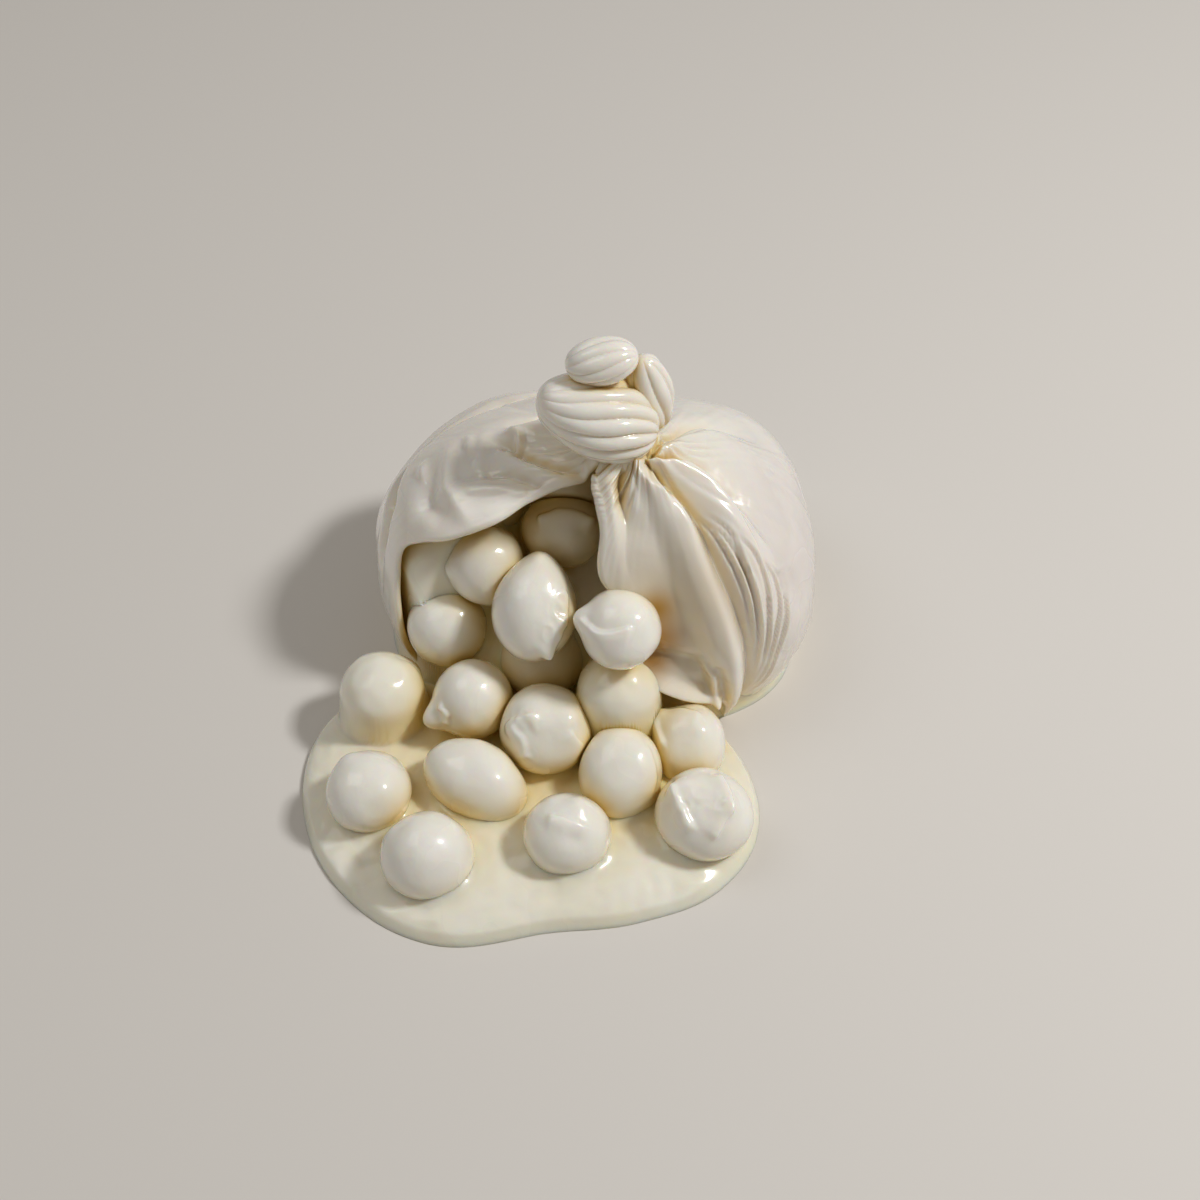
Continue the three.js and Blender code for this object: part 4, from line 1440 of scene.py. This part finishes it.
@dataclass(frozen=True)
class Effects:
    """The effects that the finishes share."""

    mottle: Effect
    # The painted shade between curds.
    depth: Effect
    # The painted warm light and shade at given places.
    light_shade_patch: Effect
    skin: Effect

    @classmethod
    def built(cls) -> "Effects":
        """Builds the node groups."""
        return cls(cls.mottling(), cls.painting_crevice_shade(), cls.painting_light_and_shade(), cls.wet_skin())

    @staticmethod
    def painting_light_and_shade() -> Effect:
        """Painted warm shade and light round a place: shade in hollows, light through thin curd.

        Returns:
            The effect.
        """
        effect = Effect(
            "Painted warm light and shade",
            {
                "Colour": (0.8, 0.8, 0.8, 1), "Painted tint": (0.6, 0.4, 0.1, 1),
                "Place": (0.0, 0.0, 0.0), "Reach": 0.01, "Strength": 0.8,
            },
            {"Colour": "NodeSocketColor", "Mask": "NodeSocketFloat"},
        )
        w, given = effect.wiring, effect.given
        here = w.node("ShaderNodeTexCoord").outputs["Object"]
        apart = w.node("ShaderNodeVectorMath", {0: here, 1: given["Place"]}, operation="DISTANCE")
        near = w.node("ShaderNodeMapRange", {
            "Value": apart.outputs["Value"], "From Min": given["Reach"], "From Max": 0.0,
            "To Max": given["Strength"],
        }, interpolation_type="SMOOTHSTEP").outputs[0]
        return effect.put(Colour=w.mixed(near, given["Colour"], given["Painted tint"]), Mask=near)

    @staticmethod
    def mottling() -> Effect:
        """Milky clouds and faint warm patches in the curd.

        Returns:
            The effect.
        """
        effect = Effect(
            "Milky mottling",
            {
                "Colour": (0.8, 0.8, 0.8, 1), "Milky": (0.9, 0.9, 0.9, 1),
                "Warm": (0.8, 0.7, 0.6, 1), "Amount": 0.5,
            },
            {"Colour": "NodeSocketColor", "Mask": "NodeSocketFloat"},
        )
        w, given = effect.wiring, effect.given
        place = w.node("ShaderNodeTexCoord").outputs["Object"]
        clouds = w.node("ShaderNodeMapRange", {
            "Value": w.noise(place, 75, 3), "From Min": 0.38, "From Max": 0.66,
        }).outputs[0]
        patches = w.node("ShaderNodeMapRange", {
            "Value": w.noise(place, 24, 2), "From Min": 0.45, "From Max": 0.75,
        }).outputs[0]
        milky = w.mixed(w.maths("MULTIPLY", clouds, given["Amount"]), given["Colour"], given["Milky"])
        warm = w.mixed(w.maths("MULTIPLY", patches, given["Amount"]), milky, given["Warm"])
        return effect.put(Colour=warm, Mask=clouds)

    @staticmethod
    def painting_crevice_shade() -> Effect:
        """Painted shade: the warm, dark colour that light takes where curds lie close together.

        Returns:
            The effect.
        """
        effect = Effect(
            "Painted crevice shade",
            {
                "Colour": (0.8, 0.8, 0.8, 1), "Crevice shade": (0.6, 0.4, 0.2, 1), "Reach": 0.012,
                "Strength": 0.8,
            },
            {"Colour": "NodeSocketColor", "Mask": "NodeSocketFloat"},
        )
        w, given = effect.wiring, effect.given
        open_sky = w.node("ShaderNodeAmbientOcclusion", {"Distance": given["Reach"]}, samples=8)
        closed = w.maths("SUBTRACT", 1.0, open_sky.outputs["AO"])
        curve = w.maths("POWER", closed, 1.5)
        mask = w.node("ShaderNodeMath", {0: curve, 1: given["Strength"]},
                      operation="MULTIPLY", use_clamp=True).outputs[0]
        return effect.put(Colour=w.mixed(mask, given["Colour"], given["Crevice shade"]), Mask=mask)

    @staticmethod
    def wet_skin() -> Effect:
        """Tiny ripples and pores, and patches where the whey lies thicker and shines more.

        Returns:
            The effect.
        """
        effect = Effect(
            "Wet skin",
            {"Dry": 0.4, "Wet": 0.2, "Ripple": 0.4, "Size": 1.0},
            {"Roughness": "NodeSocketFloat", "Normal": "NodeSocketVector"},
        )
        w, given = effect.wiring, effect.given
        place = w.node("ShaderNodeTexCoord").outputs["Object"]
        sized = w.node("ShaderNodeVectorMath", {0: place}, operation="SCALE")
        w.tree.links.new(given["Size"], sized.inputs["Scale"])
        place = sized.outputs[0]
        film = w.node("ShaderNodeMapRange", {
            "Value": w.noise(place, 60, 2), "From Min": 0.35, "From Max": 0.65,
            "To Min": given["Dry"], "To Max": given["Wet"],
        }).outputs[0]
        broad, fine = w.noise(place, 210, 2), w.noise(place, 700, 3)
        height = w.maths("ADD", w.maths("MULTIPLY", broad, 1.0), w.maths("MULTIPLY", fine, 0.28))
        bump = w.node("ShaderNodeBump", {
            "Strength": given["Ripple"], "Distance": 0.0009, "Height": height,
        })
        return effect.put(Roughness=film, Normal=bump.outputs[0])


@dataclass(frozen=True)
class LightShadePatch:
    """A place in the pouch's layout where a painted warm tint stands for shade, and on the cut end
    for light.
    """

    at: Spot
    reach: float
    colour: Spot
    strength: float


@dataclass(frozen=True)
class Finish:
    """One finish: its colours, how deep light goes in it and how wet its skin is."""

    name: str
    colour: Spot
    milky: Spot
    warm: Spot
    # deep, with the reach and strength below, is painted shade: a darker warm colour where the curd
    # is closed in.
    deep: Spot
    mottle: float
    crevice_shade_reach: float
    crevice_shade_strength: float
    dry: float
    wet: float
    ripple: float
    ripple_size: float
    glow: float
    glow_reach: float
    coat: float
    light_shade_patches: tuple[LightShadePatch, ...] = ()
    # How strongly curd bends light, how far each colour goes in it, and its wet coat.
    bend: float = 1.38
    glow_colours: Spot = (1.0, 0.72, 0.42)
    coat_roughness: float = 0.07
    coat_bend: float = 1.4

    def made(self, effects: Effects) -> bpy.types.Material:
        """Builds the material.

        Args:
            effects: The effects that the finishes share.

        Returns:
            The material.
        """
        material = bpy.data.materials.new(self.name)
        material.use_nodes = True
        tree = material.node_tree
        tree.nodes.clear()
        w = Wiring(tree)
        mottle = w.node("ShaderNodeGroup", {
            "Colour": (*self.colour, 1), "Milky": (*self.milky, 1), "Warm": (*self.warm, 1),
            "Amount": self.mottle,
        }, node_tree=effects.mottle.tree)
        # Painted shade: the colour turns towards deep where the curd is closed in.
        depth = w.node("ShaderNodeGroup", {
            "Colour": mottle.outputs["Colour"], "Crevice shade": (*self.deep, 1),
            "Reach": self.crevice_shade_reach * MM, "Strength": self.crevice_shade_strength,
        }, node_tree=effects.depth.tree)
        colour = depth.outputs["Colour"]
        # Painted warm shade and light at given places.
        for light_shade_patch in self.light_shade_patches:
            place = (np.asarray(light_shade_patch.at) - LAYOUT_CENTRE) * MM
            colour = w.node("ShaderNodeGroup", {
                "Colour": colour, "Painted tint": (*light_shade_patch.colour, 1), "Place": tuple(place),
                "Reach": light_shade_patch.reach * MM, "Strength": light_shade_patch.strength,
            }, node_tree=effects.light_shade_patch.tree).outputs["Colour"]
        skin = w.node("ShaderNodeGroup", {
            "Dry": self.dry, "Wet": self.wet, "Ripple": self.ripple, "Size": self.ripple_size,
        }, node_tree=effects.skin.tree)
        shader = w.node("ShaderNodeBsdfPrincipled", {
            "Base Color": colour, "Roughness": skin.outputs["Roughness"],
            "Normal": skin.outputs["Normal"], "IOR": self.bend,
            "Subsurface Weight": self.glow, "Subsurface Radius": self.glow_colours,
            "Subsurface Scale": self.glow_reach * MM, "Coat Weight": self.coat,
            "Coat Roughness": self.coat_roughness, "Coat IOR": self.coat_bend,
        })
        w.node("ShaderNodeOutputMaterial", {"Surface": shader.outputs[0]})
        return material


# In each finish, deep gives the colour of the painted shade between curds.
FINISHES = {
    Slot.POUCH: Finish(
        name="Stretched curd", colour=(0.87, 0.835, 0.765), milky=(0.89, 0.875, 0.83),
        warm=(0.85, 0.79, 0.72), deep=(0.78, 0.58, 0.20), mottle=0.55, crevice_shade_reach=34,
        crevice_shade_strength=1.2, dry=0.29, wet=0.16, ripple=0.2, ripple_size=0.6, glow=0.75,
        glow_reach=2.2, coat=1.0,
        # Painted shade: darker on the front panel, deep amber beside ball_05 and under the neck,
        # greyer on the right wall and the back left. Painted light: a warm tint on the cut end at the
        # foot of the front ridge.
        light_shade_patches=(
            LightShadePatch((28, -38, 58), 36, (0.66, 0.56, 0.39), 0.78),
            LightShadePatch((22.4, -38, 57), 10, (0.46, 0.25, 0.04), 1.0),
            LightShadePatch((23.4, -41.3, 47), 13, (0.42, 0.21, 0.03), 1.0),
            LightShadePatch((21, -42.7, 39), 12, (0.42, 0.21, 0.03), 1.0),
            LightShadePatch((10, -8, 78), 12, (0.50, 0.30, 0.07), 0.85),
            LightShadePatch((43, -35, 5), 13, (0.88, 0.74, 0.44), 0.9),
            LightShadePatch((68, -3, 52), 56, (0.74, 0.675, 0.65), 0.8),
            LightShadePatch((-50, 42, 60), 46, (0.72, 0.67, 0.60), 0.75),
        ),
    ),
    Slot.BALL: Finish(
        name="Wet ball curd", colour=(0.89, 0.87, 0.80), milky=(0.91, 0.90, 0.865),
        warm=(0.88, 0.84, 0.74), deep=(0.82, 0.63, 0.24), mottle=0.5, crevice_shade_reach=34,
        crevice_shade_strength=1.1, dry=0.3, wet=0.16, ripple=0.16, ripple_size=0.8, glow=0.75,
        glow_reach=2.4, coat=0.95,
    ),
    Slot.CREAM: Finish(
        name="Thick cream", colour=(0.88, 0.85, 0.74), milky=(0.90, 0.885, 0.82),
        warm=(0.86, 0.81, 0.67), deep=(0.82, 0.64, 0.24), mottle=0.5, crevice_shade_reach=30,
        crevice_shade_strength=1.2, dry=0.3, wet=0.18, ripple=0.12, ripple_size=0.5, glow=0.8,
        glow_reach=3.6, coat=0.7,
    ),
}


@dataclass(frozen=True)
class Dresser:
    """Dresses the pieces and sets them in the frame."""

    materials: dict[Slot, bpy.types.Material]

    def settle(self, piece: bpy.types.Object, node: str, slot: Slot) -> None:
        """Puts a piece in the place of a solid.

        Args:
            piece: The finished piece.
            node: The solid that it stands for.
            slot: The record's slot that its finish belongs to.
        """
        piece.data.materials.clear()
        piece.data.materials.append(self.materials[slot])
        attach(piece, BODY)
        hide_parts(node)
        LOG.info("%s stands for %s with %d faces", piece.name, node, len(piece.data.polygons))


@dataclass(frozen=True)
class Studio:
    """The pale floor, the soft lights and the photograph's camera."""

    floor_size: float = 6.0
    floor_colour: tuple[float, float, float, float] = (0.70, 0.67, 0.63, 1.0)
    eye: Spot = (0.0122, -0.38363, 0.50995)
    eye_tilt: float = 40.0
    lens: float = 57.66
    sensor: float = 36.0
    sun_way: Spot = (0.62, -0.01, 0.78)
    sun_distance: float = 1.3
    sun_size: float = 0.18
    sun_power: float = 10.2
    fill_way: Spot = (-0.5, 0.1, 0.86)
    fill_distance: float = 1.6
    fill_size: float = 0.9
    fill_power: float = 3.4
    sky_colour: tuple[float, float, float, float] = (1.0, 0.94, 0.86, 1.0)
    sky_strength: float = 0.25

    def floor(self) -> bpy.types.Object:
        """The floor, which isn't part of the object.

        Returns:
            The floor.
        """
        half = self.floor_size / 2
        mesh = bpy.data.meshes.new("floor")
        corners = [(-half, -half, 0), (half, -half, 0), (half, half, 0), (-half, half, 0)]
        mesh.from_pydata(corners, [], [(0, 1, 2, 3)])
        floor = bpy.data.objects.new("floor", mesh)
        bpy.context.scene.collection.objects.link(floor)
        material = bpy.data.materials.new("Pale floor")
        material.use_nodes = True
        shader = material.node_tree.nodes["Principled BSDF"]
        shader.inputs["Base Color"].default_value = self.floor_colour
        shader.inputs["Roughness"].default_value = 0.7
        mesh.materials.append(material)
        return floor

    def lamp(self, name: str, way: Spot, distance: float, size: float, power: float) -> None:
        """Sets a soft square lamp that faces the object.

        Args:
            name: The lamp's name.
            way: The way from the object to the lamp.
            distance: How far the lamp is, in metres.
            size: How wide it is, in metres.
            power: How bright it is, in watts.
        """
        light = bpy.data.lights.new(name, "AREA")
        light.size = size
        light.energy = power
        lamp = bpy.data.objects.new(name, light)
        middle = np.array([0.0, 0.0, 0.04])
        lamp.location = middle + unit(way) * distance
        yaw = math.atan2(way[1], way[0]) + math.pi / 2
        pitch = math.acos(unit(way)[2])
        lamp.rotation_euler = (pitch, 0.0, yaw)
        bpy.context.scene.collection.objects.link(lamp)

    def built(self) -> None:
        """Sets the floor, the lights, the sky and the camera."""
        self.floor()
        self.lamp("key", self.sun_way, self.sun_distance, self.sun_size, self.sun_power)
        self.lamp("fill", self.fill_way, self.fill_distance, self.fill_size, self.fill_power)
        scene = bpy.context.scene
        scene.world = bpy.data.worlds.new("sky")
        scene.world.use_nodes = True
        sky = scene.world.node_tree.nodes["Background"]
        sky.inputs["Color"].default_value = self.sky_colour
        sky.inputs["Strength"].default_value = self.sky_strength
        camera = bpy.data.cameras.new("camera")
        camera.lens = self.lens
        camera.sensor_width = self.sensor
        eye = bpy.data.objects.new("camera", camera)
        eye.location = self.eye
        eye.rotation_euler = (math.radians(self.eye_tilt), 0.0, 0.0)
        scene.collection.objects.link(eye)
        scene.camera = eye
        scene.view_settings.view_transform = "Standard"
        LOG.info("studio set")


def main() -> None:
    """Builds the pouch, the balls, the cream and the studio."""
    logging.basicConfig(level=logging.INFO, format="%(message)s")
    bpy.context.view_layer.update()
    effects = Effects.built()
    dresser = Dresser({slot: finish.made(effects) for slot, finish in FINISHES.items()})
    pouch = Pouch()
    maker = BallMaker()
    dresser.settle(pouch.built(), "pouch", Slot.POUCH)
    for i in range(len(BALLS)):
        detail = maker.detail
        ball = shaded(maker.made(i, f"small_ball_{i + 1:02d}", detail))
        dresser.settle(ball, f"ball_{i + 1:02d}", Slot.BALL)
    dresser.settle(Cream().built(pouch.sack, maker), "cream", Slot.CREAM)
    Studio().built()


if __name__ == "__main__":
    main()
